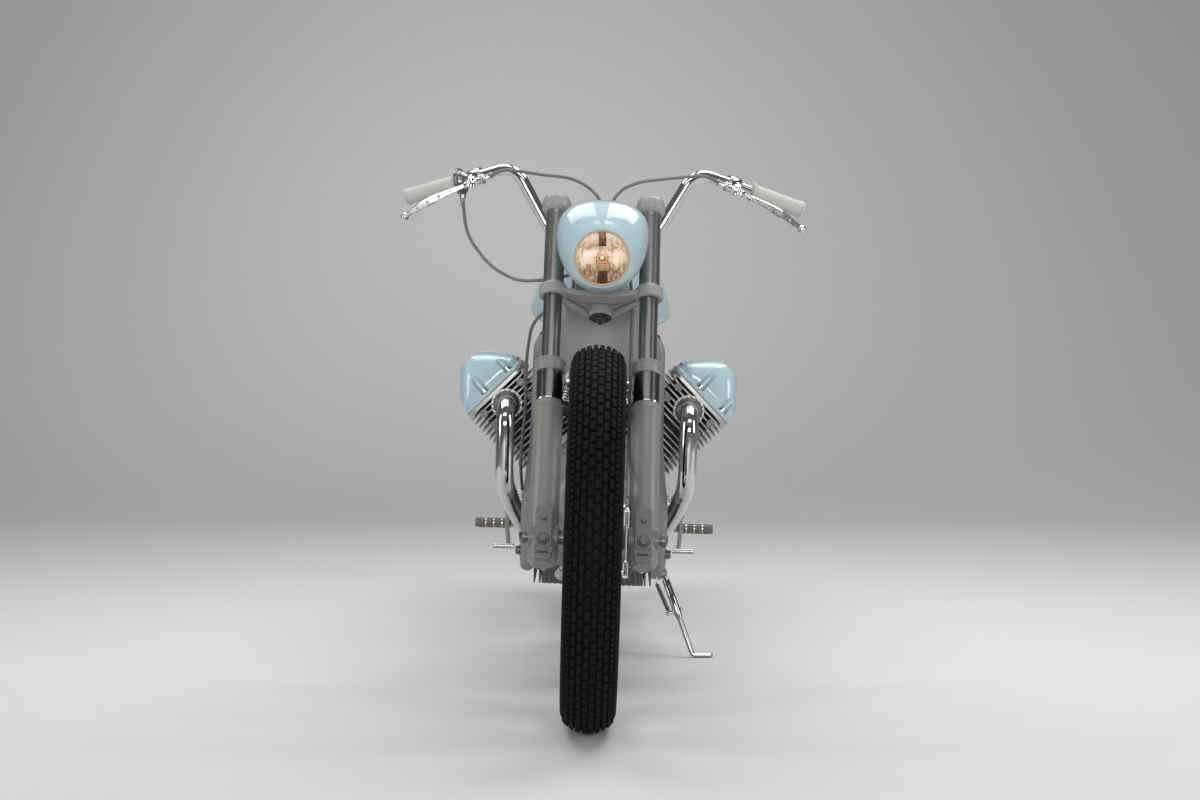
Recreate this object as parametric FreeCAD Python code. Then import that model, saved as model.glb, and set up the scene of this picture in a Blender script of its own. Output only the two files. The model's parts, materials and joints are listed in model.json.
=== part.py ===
import FreeCAD, Part
import math
import os

# Custom motorcycle with a crosswise V-twin, parked on its side stand. Millimetres.
# The bike is drawn upright, with x to its left, y to its rear from the front axle and z up
# from the ground. Then it is leaned onto the stand and centred over the origin.

Vector = FreeCAD.Vector
ORIGIN = Vector(0, 0, 0)
X_AXIS = Vector(1, 0, 0)
Y_AXIS = Vector(0, 1, 0)
Z_AXIS = Vector(0, 0, 1)
SIDES = (1, -1)

# Stance
wheelbase = 1500.0
lean_angle = 1.8
rake_angle = 29.0
stem_offset = 55.0

# Wheels
front_tyre_radius = 345.0
front_tyre_width = 100.0
front_rim_radius = front_tyre_radius - 104.0
front_rim_width = 62.0
rear_tyre_radius = 330.0
rear_tyre_width = 120.0
rear_rim_radius = rear_tyre_radius - 125.0
rear_rim_width = 84.0
rim_wall = 4.0
rim_flange = 13.0
spoke_radius = 1.9
spoke_pairs = 18
spoke_gap = 0.8
axle_radius = 8.5
axle_clearance = 0.05
drum_radius = 88.0
brake_plate_radius = 84.0

# Fork
fork_spacing = 177.0
stanchion_radius = 17.0
sleeve_radius = 19.0
slider_radius = 26.5
slider_foot = -54.0
slider_top = 265.0
boss_base = -30.0
boss_height = 77.0
polished_radius = 24.0
dust_cover_base = 322.0
dust_cover_top = 348.0
dust_cover_radius = 27.5
lower_clamp_base = 478.0
lower_clamp_height = 24.0
upper_clamp_base = 655.0
upper_clamp_height = 24.0
cap_radius = 30.0
stem_radius = 14.0
stem_clearance = 0.05
head_tube_radius = 27.0
seat_gap = 0.3

# Handlebar
bar_radius = 11.0
bar_height = 872.0
bar_rear = 425.0
grip_radius = 15.0
grip_length = 112.0
cable_radius = 3.2
crossing_height = 530.0
crossing_places = {"throttle": (-44.0, 61.0), "clutch": (-52.0, 42.0)}

# Headlight
lens_radius = 50.0
lens_height = 841.0
lens_front = 112.0
nacelle_sections = [(8.0, 0.0, 56.0, 56.0, 2.0), (18.0, 3.0, 64.0, 62.5, 2.1),
                    (42.0, 10.5, 77.0, 75.0, 2.35), (78.0, 19.0, 84.0, 83.0, 2.6),
                    (124.0, 26.0, 80.0, 77.0, 2.5), (160.0, 31.0, 66.0, 66.0, 2.3),
                    (174.0, 32.0, 58.0, 60.0, 2.2)]

# Tank
cap_rear = 640.0
cap_height = 874.0

# Engine
crank_height = 365.0
crank_rear = 600.0
cylinder_angle = 45.0
cylinder_stagger = 12.0
deck_distance = 118.0
head_distance = 206.0
cover_distance = 286.0
barrel_radius = 52.0
fin_thickness = 3.2
fin_pitch = 10.0
barrel_fin_width = 138.0
head_fin_width = 150.0
head_fin_length = 158.0
cover_foot_height = 8.0
cover_sections = [(7.0, 70.0, 73.0, 5.0), (24.0, 68.5, 72.0, 5.0), (48.0, 50.0, 61.0, 4.0),
                  (67.0, 30.0, 47.0, 3.2), (80.0, 12.0, 26.0, 2.4)]
cover_screws = [(-66.0, 30.0), (-16.0, 70.0), (46.0, 68.0), (67.0, 24.0)]
cover_scallop_radius = 9.0
case_reach = 100.0
case_length = 196.0
sump_base = 192.0
sump_half_width = 113.0
port_radius = 26.0
header_radius = 17.5

# Frame
frame_tube_radius = 15.0
rail_tube_radius = 14.0
rail_height = 236.0
downtube_rear = 480.0
downtube_side = 127.0
pivot_rear = 985.0
pivot_height = 330.0
pivot_radius = 9.0
upright_foot = Vector(88.0, pivot_rear + 4.0, pivot_height + 70.5)
rail_tail_height = 2 * rear_tyre_radius + 40.0
rail_elbow_height = rail_tail_height - 36.0
upright_head = Vector(90.0, pivot_rear + 7.0, rail_elbow_height)
rail_elbow = Vector(100.0, pivot_rear + 25.0, rail_elbow_height)
rail_tail = Vector(112.0, wheelbase - 110.0, rail_tail_height)
tail_lamp_height = rail_tail_height + 12.0
swingarm_bend_rear = pivot_rear + 155.0
shock_foot_share = 0.279
shock_block_height = 36.0
shock_top = Vector(112.0, wheelbase - 200.0, rail_tail_height - 38.0)
shock_foot = Vector(112.0, wheelbase - 104.0,
                    rear_tyre_radius + 44.0 + (pivot_height - rear_tyre_radius) * shock_foot_share)
shock_eye_radius = 12.0
stand_pivot = Vector(140.0, 872.0, 176.0)
stand_axis_tilt = 24.0
stand_axis = Vector(math.cos(math.radians(stand_axis_tilt)), 0, math.sin(math.radians(stand_axis_tilt)))
stand_foot_side = 222.0
stand_foot_rear = 832.0
stand_tube_radius = 5.5
stand_collar_radius = 8.0
stand_foot_length = 36.0


def move(shape, offset):
    """Copy of a shape, shifted."""
    copy = shape.copy()
    copy.translate(offset)
    return copy


def mirror_x(shape):
    """Copy of a shape, mirrored to the other side of the bike."""
    return shape.mirror(ORIGIN, X_AXIS)


def both_sides(shape):
    """A left shape with its mirrored twin, as separate solids."""
    return [shape, mirror_x(shape)]


def unit(vector):
    """A vector's direction."""
    length = vector.Length
    return Vector(vector.x / length, vector.y / length, vector.z / length)


def rod(start, end, radius):
    """Round bar between two points."""
    span = end - start
    return Part.makeCylinder(radius, span.Length, start, span)


def block(low, high):
    """Box from its lowest to its highest corner."""
    return Part.makeBox(high.x - low.x, high.y - low.y, high.z - low.z, low)


def fuse(shapes):
    """One solid from pieces that touch."""
    result = shapes[0]
    if len(shapes) > 1:
        result = shapes[0].multiFuse(shapes[1:])
    return result.removeSplitter()


def bent_path(points, bend):
    """Straight runs joined by tangent arcs, of one bend radius or of one for each corner."""
    bends = bend if isinstance(bend, (list, tuple)) else [bend] * (len(points) - 2)
    edges = []
    start = points[0]
    for index in range(1, len(points) - 1):
        corner = points[index]
        back = unit(points[index - 1] - corner)
        ahead = unit(points[index + 1] - corner)
        half_turn = (math.pi - back.getAngle(ahead)) / 2
        reach = bends[index - 1] * math.tan(half_turn)
        arc_start = corner + back * reach
        arc_end = corner + ahead * reach
        bisector = unit(back + ahead)
        sag = bends[index - 1] * (1 / math.cos(half_turn) - 1)
        edges.append(Part.LineSegment(start, arc_start).toShape())
        edges.append(Part.Arc(arc_start, corner + bisector * sag, arc_end).toShape())
        start = arc_end
    edges.append(Part.LineSegment(start, points[-1]).toShape())
    return Part.Wire(edges)


def bent_tube(points, radius, bend):
    """Solid round tube along straight runs and tangent arcs."""
    path = bent_path(points, bend)
    ring = Part.Wire(Part.makeCircle(radius, points[0], points[1] - points[0]))
    return path.makePipeShell([ring], True, True)


def polygon_face(points):
    """Flat face from a closed outline."""
    return Part.Face(Part.makePolygon(points + [points[0]]))


def turned(outline, centre, axis_direction):
    """Solid turned from an outline of (along, radius) points about an axis."""
    points = [Vector(radius, 0, along) for along, radius in outline]
    solid = polygon_face(points).revolve(ORIGIN, Z_AXIS, 360)
    turn = FreeCAD.Rotation(Z_AXIS, axis_direction)
    solid.Placement = FreeCAD.Placement(centre, turn)
    return solid


def smooth_ring(points):
    """Closed smooth wire through points."""
    curve = Part.BSplineCurve()
    curve.interpolate(Points=points, PeriodicFlag=True)
    return Part.Wire(curve.toShape())


def oval_ring(rear, centre_height, half_width, half_height, squareness=2.0, count=16):
    """Closed smooth section across the bike, from round at 2 to squarer above it."""
    points = []
    for index in range(count):
        angle = 2 * math.pi * index / count
        cosine = math.cos(angle)
        sine = math.sin(angle)
        power = 2.0 / squareness
        x = half_width * math.copysign(abs(cosine) ** power, cosine)
        z = half_height * math.copysign(abs(sine) ** power, sine)
        points.append(Vector(x, rear, centre_height + z))
    return smooth_ring(points)


def fork_place():
    """From the fork's own frame, with z up the legs from the axle, to the upright bike."""
    turn = FreeCAD.Rotation(X_AXIS, -rake_angle)
    return FreeCAD.Placement(Vector(0, 0, front_tyre_radius), turn)


def to_bike(shape):
    """Shape drawn in the fork's frame, placed on the bike."""
    copy = shape.copy()
    copy.Placement = fork_place().multiply(copy.Placement)
    return copy


def to_fork(point):
    """Bike point in the fork's own frame."""
    return fork_place().inverse().multVec(point)


def fork_point(x, y, z):
    """Bike point of a place given in the fork's own frame."""
    return fork_place().multVec(Vector(x, y, z))


# Wheels


def tyre(radius, width, rim_radius, rim_width):
    """Round-shouldered tyre around the x axis."""
    half = width / 2
    bead = rim_width / 2 - rim_wall
    section = radius - rim_radius
    bulge = rim_radius + 0.5 * section
    shoulder = radius - 0.16 * section
    tread = 0.86 * half
    base = Vector(bead, 0, rim_radius)
    lip = Vector(bead, 0, rim_radius + rim_flange + 1)
    side = Vector(half, 0, bulge)
    edge = Vector(tread, 0, shoulder)

    def flip(point):
        return Vector(-point.x, 0, point.z)

    edges = [
        Part.LineSegment(base, lip).toShape(),
        Part.Arc(lip, side, edge).toShape(),
        Part.Arc(edge, Vector(0, 0, radius), flip(edge)).toShape(),
        Part.Arc(flip(edge), flip(side), flip(lip)).toShape(),
        Part.LineSegment(flip(lip), flip(base)).toShape(),
        Part.LineSegment(flip(base), base).toShape(),
    ]
    return Part.Face(Part.Wire(edges)).revolve(ORIGIN, X_AXIS, 360)


def rim(radius, width):
    """Drop-centre rim around the x axis."""
    half = width / 2
    inner = half - rim_wall
    drop = radius - 16
    outline = [
        (half, radius + rim_flange), (inner, radius + rim_flange), (inner, radius),
        (0.5 * inner, radius - 3), (0.3 * inner, drop), (-0.3 * inner, drop),
        (-0.5 * inner, radius - 3), (-inner, radius), (-inner, radius + rim_flange),
        (-half, radius + rim_flange), (-half, radius - rim_wall),
        (-0.55 * inner, radius - 3 - rim_wall), (-0.35 * inner, drop - rim_wall),
        (0.35 * inner, drop - rim_wall), (0.55 * inner, radius - 3 - rim_wall),
        (half, radius - rim_wall),
    ]
    points = [Vector(x, 0, height) for x, height in outline]
    return polygon_face(points).revolve(ORIGIN, X_AXIS, 360)


def spokes(flange_radius, flange_places, rim_radius):
    """Crossed wire spokes from the hub's flanges to the rim."""
    reach = rim_radius - 16 - rim_wall - spoke_gap
    lean_out = math.radians(34)
    wires = []
    for index in range(2 * spoke_pairs):
        angle = 2 * math.pi * index / (2 * spoke_pairs)
        side = flange_places[index % 2]
        swing = lean_out if (index // 2) % 2 else -lean_out
        start_angle = angle + swing
        start = Vector(side, (flange_radius - 6) * math.cos(start_angle),
                       (flange_radius - 6) * math.sin(start_angle))
        end = Vector(math.copysign(4, side), reach * math.cos(angle), reach * math.sin(angle))
        wires.append(rod(start, end, spoke_radius))
    return wires


def front_hub():
    """Drum hub with a spoke flange at each side, bored for the axle."""
    outline = [(-52, 0), (-52, 22), (-44, 24), (-42, 56), (-36, 56), (-30, 34), (-6, 40),
               (2, drum_radius - 4), (8, drum_radius), (40, drum_radius), (42, drum_radius - 2),
               (42, 0)]
    hub = turned(outline, ORIGIN, X_AXIS)
    wires = spokes(56, (39, -39), front_rim_radius)
    hub = fuse([hub] + wires)
    bore = Part.makeCylinder(axle_radius + axle_clearance, 200, Vector(-100, 0, 0), X_AXIS)
    return hub.cut(bore)


def rear_hub():
    """Rear hub with spoke flanges and a driven flange on the right."""
    outline = [(-48, 0), (-48, 62), (-40, 66), (-34, 66), (-28, 40), (20, 38), (28, 66), (34, 66),
               (38, 58), (44, 58), (44, 0)]
    hub = turned(outline, ORIGIN, X_AXIS)
    wires = spokes(66, (31, -37), rear_rim_radius)
    hub = fuse([hub] + wires)
    bore = Part.makeCylinder(axle_radius + axle_clearance, 200, Vector(-100, 0, 0), X_AXIS)
    return hub.cut(bore)


def wheel_parts():
    """Both wheels' pieces, placed on their axles."""
    front = Vector(0, 0, front_tyre_radius)
    rear = Vector(0, wheelbase, rear_tyre_radius)
    return {
        "front_tyre": move(tyre(front_tyre_radius, front_tyre_width, front_rim_radius,
                                front_rim_width), front),
        "front_rim": move(rim(front_rim_radius, front_rim_width), front),
        "front_hub": move(front_hub(), front),
        "rear_tyre": move(tyre(rear_tyre_radius, rear_tyre_width, rear_rim_radius,
                               rear_rim_width), rear),
        "rear_rim": move(rim(rear_rim_radius, rear_rim_width), rear),
        "rear_hub": move(rear_hub(), rear),
    }


# Fork


def fork_leg_x(side):
    """Sideways place of a fork leg."""
    return side * fork_spacing / 2


def sliders():
    """Painted lower legs with a flat front boss and a split axle clamp."""
    legs = []
    for side in SIDES:
        centre = Vector(fork_leg_x(side), 0, slider_foot)
        body = Part.makeCylinder(slider_radius, slider_top - slider_foot, centre)
        body = body.makeFillet(6, [edge for edge in body.Edges if abs(
            edge.BoundBox.ZMax - slider_foot) < 0.1 and edge.BoundBox.ZLength < 0.1])
        ring = Part.makeCylinder(slider_radius + 1.2, 6, Vector(centre.x, 0, slider_top - 14))
        boss_low = Vector(centre.x - 15, -slider_radius - 6, boss_base)
        boss_high = Vector(centre.x + 15, 0, boss_base + boss_height)
        boss = block(boss_low, boss_high)
        clamp_low = Vector(centre.x - 18, -slider_radius - 4, slider_foot + 8)
        clamp_high = Vector(centre.x + 18, 0, boss_base)
        clamp = block(clamp_low, clamp_high)
        leg = fuse([body, ring, boss, clamp])
        slot = block(Vector(centre.x - 9, -slider_radius - 10, boss_base - 12),
                     Vector(centre.x + 9, -slider_radius + 4, boss_base - 7))
        bore = Part.makeCylinder(axle_radius, 120, Vector(centre.x - 60, 0, 0), X_AXIS)
        socket = Part.makeCylinder(stanchion_radius, slider_top, Vector(centre.x, 0, 120))
        legs.append(to_bike(leg.cut(slot).cut(bore).cut(socket)))
    return legs


def dust_covers():
    """Polished sleeve and grey cap over the top of each lower leg."""
    covers = []
    for side in SIDES:
        outline = [
            (slider_top, stanchion_radius), (slider_top, polished_radius + 2),
            (slider_top + 4, polished_radius + 2), (slider_top + 5, polished_radius),
            (dust_cover_base, polished_radius), (dust_cover_base, dust_cover_radius - 1.5),
            (dust_cover_base + 3, dust_cover_radius - 1), (dust_cover_top - 9, dust_cover_radius),
            (dust_cover_top - 7, dust_cover_radius + 1.5), (dust_cover_top - 3, dust_cover_radius + 1),
            (dust_cover_top, dust_cover_radius - 4), (dust_cover_top, stanchion_radius)]
        covers.append(to_bike(turned(outline, Vector(fork_leg_x(side), 0, 0), Z_AXIS)))
    return covers


def stanchions():
    """Chrome fork tubes with a wider sleeve between the clamps."""
    tubes = []
    clamp_top = lower_clamp_base + lower_clamp_height
    for side in SIDES:
        outline = [
            (120, 0), (120, stanchion_radius), (clamp_top, stanchion_radius),
            (clamp_top, sleeve_radius), (upper_clamp_base, sleeve_radius),
            (upper_clamp_base, stanchion_radius), (upper_clamp_base + 18, stanchion_radius),
            (upper_clamp_base + 18, 0)]
        tubes.append(to_bike(turned(outline, Vector(fork_leg_x(side), 0, 0), Z_AXIS)))
    return tubes


def arched_bar(base, height, front, rear, dip):
    """Bar from leg to leg whose front view sags in an arc."""
    reach = fork_spacing / 2
    top = base + height
    edges = [
        Part.Arc(Vector(-reach, front, top), Vector(0, front, top - dip),
                 Vector(reach, front, top)).toShape(),
        Part.LineSegment(Vector(reach, front, top), Vector(reach, front, base)).toShape(),
        Part.Arc(Vector(reach, front, base), Vector(0, front, base - dip),
                 Vector(-reach, front, base)).toShape(),
        Part.LineSegment(Vector(-reach, front, base), Vector(-reach, front, top)).toShape(),
    ]
    return Part.Face(Part.Wire(edges)).extrude(Vector(0, rear - front, 0))


def lower_clamp():
    """Cast lower fork clamp with ribs and the steering stem."""
    base = lower_clamp_base
    pieces = [arched_bar(base + 2, lower_clamp_height - 6, -12, 22, 12)]
    for side in SIDES:
        x = fork_leg_x(side)
        pieces.append(Part.makeCylinder(stanchion_radius + 9, lower_clamp_height, Vector(x, 0, base)))
        rib = polygon_face([
            Vector(x * 0.86, 0, base + 2), Vector(x * 0.86, 22, base + 2),
            Vector(side * 12, stem_offset + 10, base + 2), Vector(side * 12, stem_offset - 20, base + 2)])
        pieces.append(rib.extrude(Vector(0, 0, 8)))
    boss = Part.makeCylinder(head_tube_radius, lower_clamp_height - 4,
                             Vector(0, stem_offset, base - 8))
    deck = polygon_face([
        Vector(-60, 10, base - 4), Vector(60, 10, base - 4),
        Vector(20, stem_offset + 16, base - 4), Vector(-20, stem_offset + 16, base - 4)])
    stem_top = upper_clamp_base + upper_clamp_height + 10
    stem = Part.makeCylinder(stem_radius, stem_top - base, Vector(0, stem_offset, base))
    nut = turned([(base - 26, 0), (base - 24, 4), (base - 18, 9), (base - 8, 12), (base - 8, 0)],
                 Vector(0, stem_offset, 0), Z_AXIS)
    body = fuse(pieces + [boss, deck.extrude(Vector(0, 0, 12)), stem, nut])
    for side in SIDES:
        bore = Part.makeCylinder(stanchion_radius, 60, Vector(fork_leg_x(side), 0, base - 20))
        body = body.cut(bore)
    return to_bike(body)


def upper_clamp():
    """Upper fork clamp with domed caps and rear handlebar saddles."""
    base = upper_clamp_base
    top = base + upper_clamp_height
    pieces = []
    for side in SIDES:
        x = fork_leg_x(side)
        outline = [(base, 0), (base, cap_radius - 6), (base + 6, cap_radius - 1),
                   (base + 12, cap_radius), (top, cap_radius), (top + 7, cap_radius - 4),
                   (top + 12, cap_radius - 13), (top + 14, 0)]
        pieces.append(turned(outline, Vector(x, 0, 0), Z_AXIS))
        arm = polygon_face([
            Vector(x, -16, base + 3), Vector(x, 20, base + 3),
            Vector(side * 10, stem_offset + 24, base + 3), Vector(side * 10, stem_offset - 24, base + 3)])
        pieces.append(arm.extrude(Vector(0, 0, upper_clamp_height - 6)))
    pieces.append(Part.makeCylinder(26, upper_clamp_height, Vector(0, stem_offset, base)))
    bar_point = to_fork(Vector(0, bar_rear, bar_height))
    for side in SIDES:
        saddle = block(Vector(side * 34 - 11, stem_offset, base + 3),
                       Vector(side * 34 + 11, bar_point.y, top - 3))
        ring = Part.makeCylinder(bar_radius + 7, 22, Vector(side * 34 - 11, bar_point.y, bar_point.z),
                                 X_AXIS)
        pieces.append(saddle)
        pieces.append(ring)
    body = fuse(pieces)
    body = body.cut(Part.makeCylinder(bar_radius, 120, Vector(-60, bar_point.y, bar_point.z), X_AXIS))
    body = body.cut(Part.makeCylinder(stem_radius, 80, Vector(0, stem_offset, base - 20)))
    for side in SIDES:
        body = body.cut(Part.makeCylinder(stanchion_radius, 38, Vector(fork_leg_x(side), 0, base - 20)))
    return to_bike(body)


def bar_points():
    """Corners of the handlebar's centre line, from the middle to the left end."""
    return [
        Vector(0, bar_rear, bar_height),
        Vector(96, bar_rear, bar_height),
        Vector(172, 438, 1004),
        Vector(380, 528, 938),
    ]


def handlebar():
    """One bent chrome tube."""
    left = bar_points()
    right = [Vector(-point.x, point.y, point.z) for point in reversed(left[1:])]
    return bent_tube(right + left[1:], bar_radius, [45, 40, 40, 45])


def bar_spot(distance):
    """Point of the handlebar's outer run, at a distance from its left end, and its direction."""
    points = bar_points()
    along = unit(points[2] - points[3])
    return points[3] + along * distance, along


def grips():
    """Off-white rubber grips over the bar's ends."""
    end, along = bar_spot(-3)
    inner, along = bar_spot(grip_length)
    sleeve = rod(end, inner, grip_radius)
    flange = rod(inner - along * 5, inner, grip_radius + 4)
    bar = rod(bar_spot(0)[0], inner + along * 10, bar_radius)
    return both_sides(fuse([sleeve, flange]).cut(bar))


def throttle_drum():
    """Round cable housing beside the right grip."""
    start, along = bar_spot(grip_length + 1)
    end = start + along * 20
    body = rod(start, end, 22)
    boss = rod(start + along * 10, start + along * 10 + Vector(0, 0, -34), 5)
    core = rod(start - along * 5, end + along * 5, bar_radius)
    return mirror_x(fuse([body, boss]).cut(core))


def lever_perch():
    """Left clamp with its lever pivot and cable adjuster."""
    start, along = bar_spot(grip_length + 28)
    end = start + along * 24
    ring = rod(start, end, bar_radius + 5)
    pivot = start + Vector(-2, -32, -8)
    arm = rod(start + along * 12, pivot, 8)
    barrel = rod(pivot + along * 2, pivot + along * 30, 6)
    wheel = rod(pivot + along * 22, pivot + along * 28, 10)
    pin = rod(pivot + Vector(0, 0, -9), pivot + Vector(0, 0, 9), 9)
    body = fuse([ring, arm, barrel, wheel, pin])
    core = rod(start - along * 5, end + along * 5, bar_radius)
    return body.cut(core)


def lever():
    """Left drilled blade with a ball at its end."""
    start, along = bar_spot(grip_length + 28)
    pivot = start + Vector(-2, -32, -8)
    ball = Vector(380, 452, 900)
    out = unit(ball - pivot)
    lift = Vector(0, 0, 1)
    across = unit(out.cross(lift))
    half = 3.2
    top_root = pivot + out * 11 + lift * 7
    top_tip = ball + lift * 4
    low_tip = ball - lift * 4
    low_root = pivot + out * 11 - lift * 7
    blade = polygon_face([top_root, top_tip, low_tip, low_root])
    blade = move(blade, across * (-half)).extrude(across * (2 * half))
    span = (ball - pivot).Length
    for index in range(4):
        spot = pivot + out * (span * (0.42 + 0.12 * index))
        blade = blade.cut(rod(spot - across * 10, spot + across * 10, 2.7 - 0.2 * index))
    return blade.fuse(Part.makeSphere(8, ball))


def nacelle():
    """Egg-shaped headlight shell in front of the fork tubes."""
    rings = []
    for behind, above, half_width, half_height, squareness in nacelle_sections:
        rings.append(oval_ring(lens_front + behind, lens_height + above, half_width, half_height,
                               squareness))
    shell = Part.makeLoft(rings, True)
    bowl = Part.makeCylinder(lens_radius, 50, Vector(0, lens_front, lens_height), Y_AXIS)
    shell = shell.cut(bowl)
    ear_height = lens_height + 25
    ears = [rod(Vector(side * 50, lens_front + 138, ear_height),
                Vector(side * 84, lens_front + 160, ear_height), 9) for side in SIDES]
    shell = fuse([shell] + ears)
    for side in SIDES:
        start = fork_point(fork_leg_x(side), 0, 440)
        end = fork_point(fork_leg_x(side), 0, 720)
        shell = shell.cut(rod(start, end, sleeve_radius + seat_gap))
    keep_clear = Part.makeBox(400, 200, 80, Vector(-200, -16, lower_clamp_base + lower_clamp_height - 80 + 0.3))
    return shell.cut(to_bike(keep_clear))


def headlight():
    """Bright reflector bowl with its rim and bulb."""
    front = lens_front
    outline = [(front + 49.7, 0), (front + 49.7, 14), (front + 36, 34), (front + 16, 45),
               (front + 12, lens_radius - 0.2), (front + 9, lens_radius - 0.2), (front + 9, 43),
               (front + 14, 42), (front + 33, 32), (front + 46, 12), (front + 46, 0)]
    bowl = turned(outline, Vector(0, 0, lens_height), Y_AXIS)
    bulb = Part.makeCylinder(7, 20, Vector(0, front + 28, lens_height), Y_AXIS)
    tip = Part.makeSphere(7, Vector(0, front + 28, lens_height))
    return fuse([bowl, bulb, tip])


def headlight_lens():
    """Domed glass in its rim."""
    front = lens_front
    outline = [(front - 6, 0), (front - 4, 22), (front + 1, 40), (front + 6, lens_radius - 0.4),
               (front + 8.7, lens_radius - 0.4), (front + 8.7, 45), (front + 3, 38), (front, 21),
               (front - 2, 0)]
    return turned(outline, Vector(0, 0, lens_height), Y_AXIS)


def front_axle():
    """Front spindle with a head and a nut."""
    reach = fork_spacing / 2 + slider_radius + 6
    outline = [(-reach - 6, 0), (-reach - 6, 12), (-reach, 12), (-reach, axle_radius),
               (reach, axle_radius), (reach, 12), (reach + 8, 12), (reach + 8, 0)]
    spindle = turned(outline, Vector(0, 0, front_tyre_radius), X_AXIS)
    inner = fork_spacing / 2 - slider_radius
    spacer = Part.makeCylinder(13, inner - 52.3, Vector(-inner, 0, front_tyre_radius), X_AXIS)
    return fuse([spindle, spacer])


def brake_plate():
    """Drum brake's back plate with its cam lever and linkage."""
    start = 42.3
    inner = fork_spacing / 2 - slider_radius
    outline = [(start, 0), (start, brake_plate_radius), (start + 5, brake_plate_radius),
               (start + 9, brake_plate_radius - 14), (start + 9, 34), (start + 12, 18),
               (inner, 16), (inner, 0)]
    plate = turned(outline, Vector(0, 0, front_tyre_radius), X_AXIS)
    upper = Vector(58, -22, front_tyre_radius + 62)
    lower = Vector(58, -22, front_tyre_radius - 55)
    arms = []
    for cam in (upper, lower):
        arms.append(rod(Vector(start + 4, cam.y, cam.z), Vector(58, cam.y, cam.z), 6))
        arms.append(rod(cam, cam + Vector(0, -22, -6), 4.5))
    link = rod(upper + Vector(0, -22, -6), lower + Vector(0, -22, -6), 3)
    body = fuse([plate] + arms + [link])
    return body.cut(Part.makeCylinder(axle_radius, 200, Vector(-20, 0, front_tyre_radius), X_AXIS))


def cable_crossing(name, below=0.0):
    """Place beside the steering head where a cable leaves the steered parts, or a point below it."""
    across, behind = crossing_places[name]
    return fork_point(across, behind, crossing_height - below)


def steering_cables():
    """Control cables on the steered parts: throttle, front brake and clutch."""
    drum, along = bar_spot(grip_length + 11)
    throttle = [
        Vector(-drum.x, drum.y, drum.z - 35.5), Vector(-262, 462, 870), Vector(-215, 420, 812),
        Vector(-160, 375, 786), Vector(-110, 340, 790), cable_crossing("throttle", -30),
        cable_crossing("throttle")]
    perch, along = bar_spot(grip_length + 28)
    pivot = perch + Vector(-2, -32, -8) + along * 30.5
    knee = pivot + along * 40 + Vector(0, -4, 8)
    clutch = [
        pivot, knee, Vector(118, 372, 988), Vector(62, 340, 980), Vector(26, 316, 962),
        Vector(4, 301, 915), fork_point(-20, 6, 616), cable_crossing("clutch", -44),
        cable_crossing("clutch")]
    inside_leg = fork_spacing / 2 - slider_radius - cable_radius - 0.2
    beside_leg = [(46, 510), (46, 440), (40, 350), (34, 270), (18, 200), (-10, 140), (-42, 95), (-57, 57)]
    brake = [
        Vector(-pivot.x, pivot.y, pivot.z), Vector(-knee.x, knee.y, knee.z),
        Vector(-118, 372, 988), Vector(-62, 338, 984), Vector(-22, 312, 964), Vector(14, 297, 915),
        Vector(44, 296, 850)]
    brake += [fork_point(inside_leg, behind, along_leg) for behind, along_leg in beside_leg]
    return [cable(route) for route in (throttle, clutch, brake)]


def cable(route):
    """Held cable along straight runs joined by large tangent arcs."""
    bends = []
    for index in range(1, len(route) - 1):
        before = route[index] - route[index - 1]
        after = route[index + 1] - route[index]
        half_turn = before.getAngle(after) / 2
        bends.append(0.45 * min(before.Length, after.Length) / math.tan(half_turn))
    return bent_tube(route, cable_radius, bends)


# Engine


def cylinder_place(side):
    """From a cylinder's own frame, with z up its bore, to the bike."""
    turn = FreeCAD.Rotation(Y_AXIS, side * cylinder_angle)
    return FreeCAD.Placement(Vector(0, crank_rear - side * cylinder_stagger, crank_height), turn)


def in_cylinder(shape, side):
    """Shape drawn along a bore, placed on the engine."""
    copy = shape.copy()
    copy.Placement = cylinder_place(side).multiply(copy.Placement)
    return copy


def fin(width, length, height):
    """One cooling fin with rounded corners."""
    plate = block(Vector(-width / 2, -length / 2, height), Vector(width / 2, length / 2,
                                                                  height + fin_thickness))
    corners = [edge for edge in plate.Edges if edge.BoundBox.ZLength > fin_thickness - 0.1]
    return plate.makeFillet(22, corners)


def barrel(side):
    """Finned cylinder barrel."""
    pieces = [Part.makeCylinder(barrel_radius, head_distance - deck_distance,
                                Vector(0, 0, deck_distance))]
    pieces.append(block(Vector(-60, -60, deck_distance), Vector(60, 60, deck_distance + 10)))
    height = deck_distance + 16
    while height < head_distance - 4:
        pieces.append(fin(barrel_fin_width, barrel_fin_width, height))
        height += fin_pitch
    return in_cylinder(fuse(pieces), side)


def cylinder_head(side):
    """Finned head with its exhaust port at the front."""
    core_height = cover_distance - head_distance
    pieces = [Part.makeCylinder(barrel_radius + 6, core_height, Vector(0, 0, head_distance))]
    height = head_distance + 4
    while height < cover_distance - 12:
        pieces.append(fin(head_fin_width, head_fin_length, height))
        height += fin_pitch
    flange = block(Vector(-head_fin_width / 2 + 2, -head_fin_length / 2 + 2, cover_distance - 8),
                   Vector(head_fin_width / 2 - 2, head_fin_length / 2 - 2, cover_distance))
    corners = [edge for edge in flange.Edges if edge.BoundBox.ZLength > 7]
    pieces.append(flange.makeFillet(20, corners))
    port_height = head_distance + 44
    pieces.append(Part.makeCylinder(port_radius, head_fin_length / 2 + 14,
                                    Vector(0, 0, port_height), Vector(0, -1, 0)))
    pieces.append(Part.makeCylinder(port_radius - 4, head_fin_length / 2 + 14,
                                    Vector(0, 0, port_height), Vector(0, 1, 0)))
    return in_cylinder(fuse(pieces), side)


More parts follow.
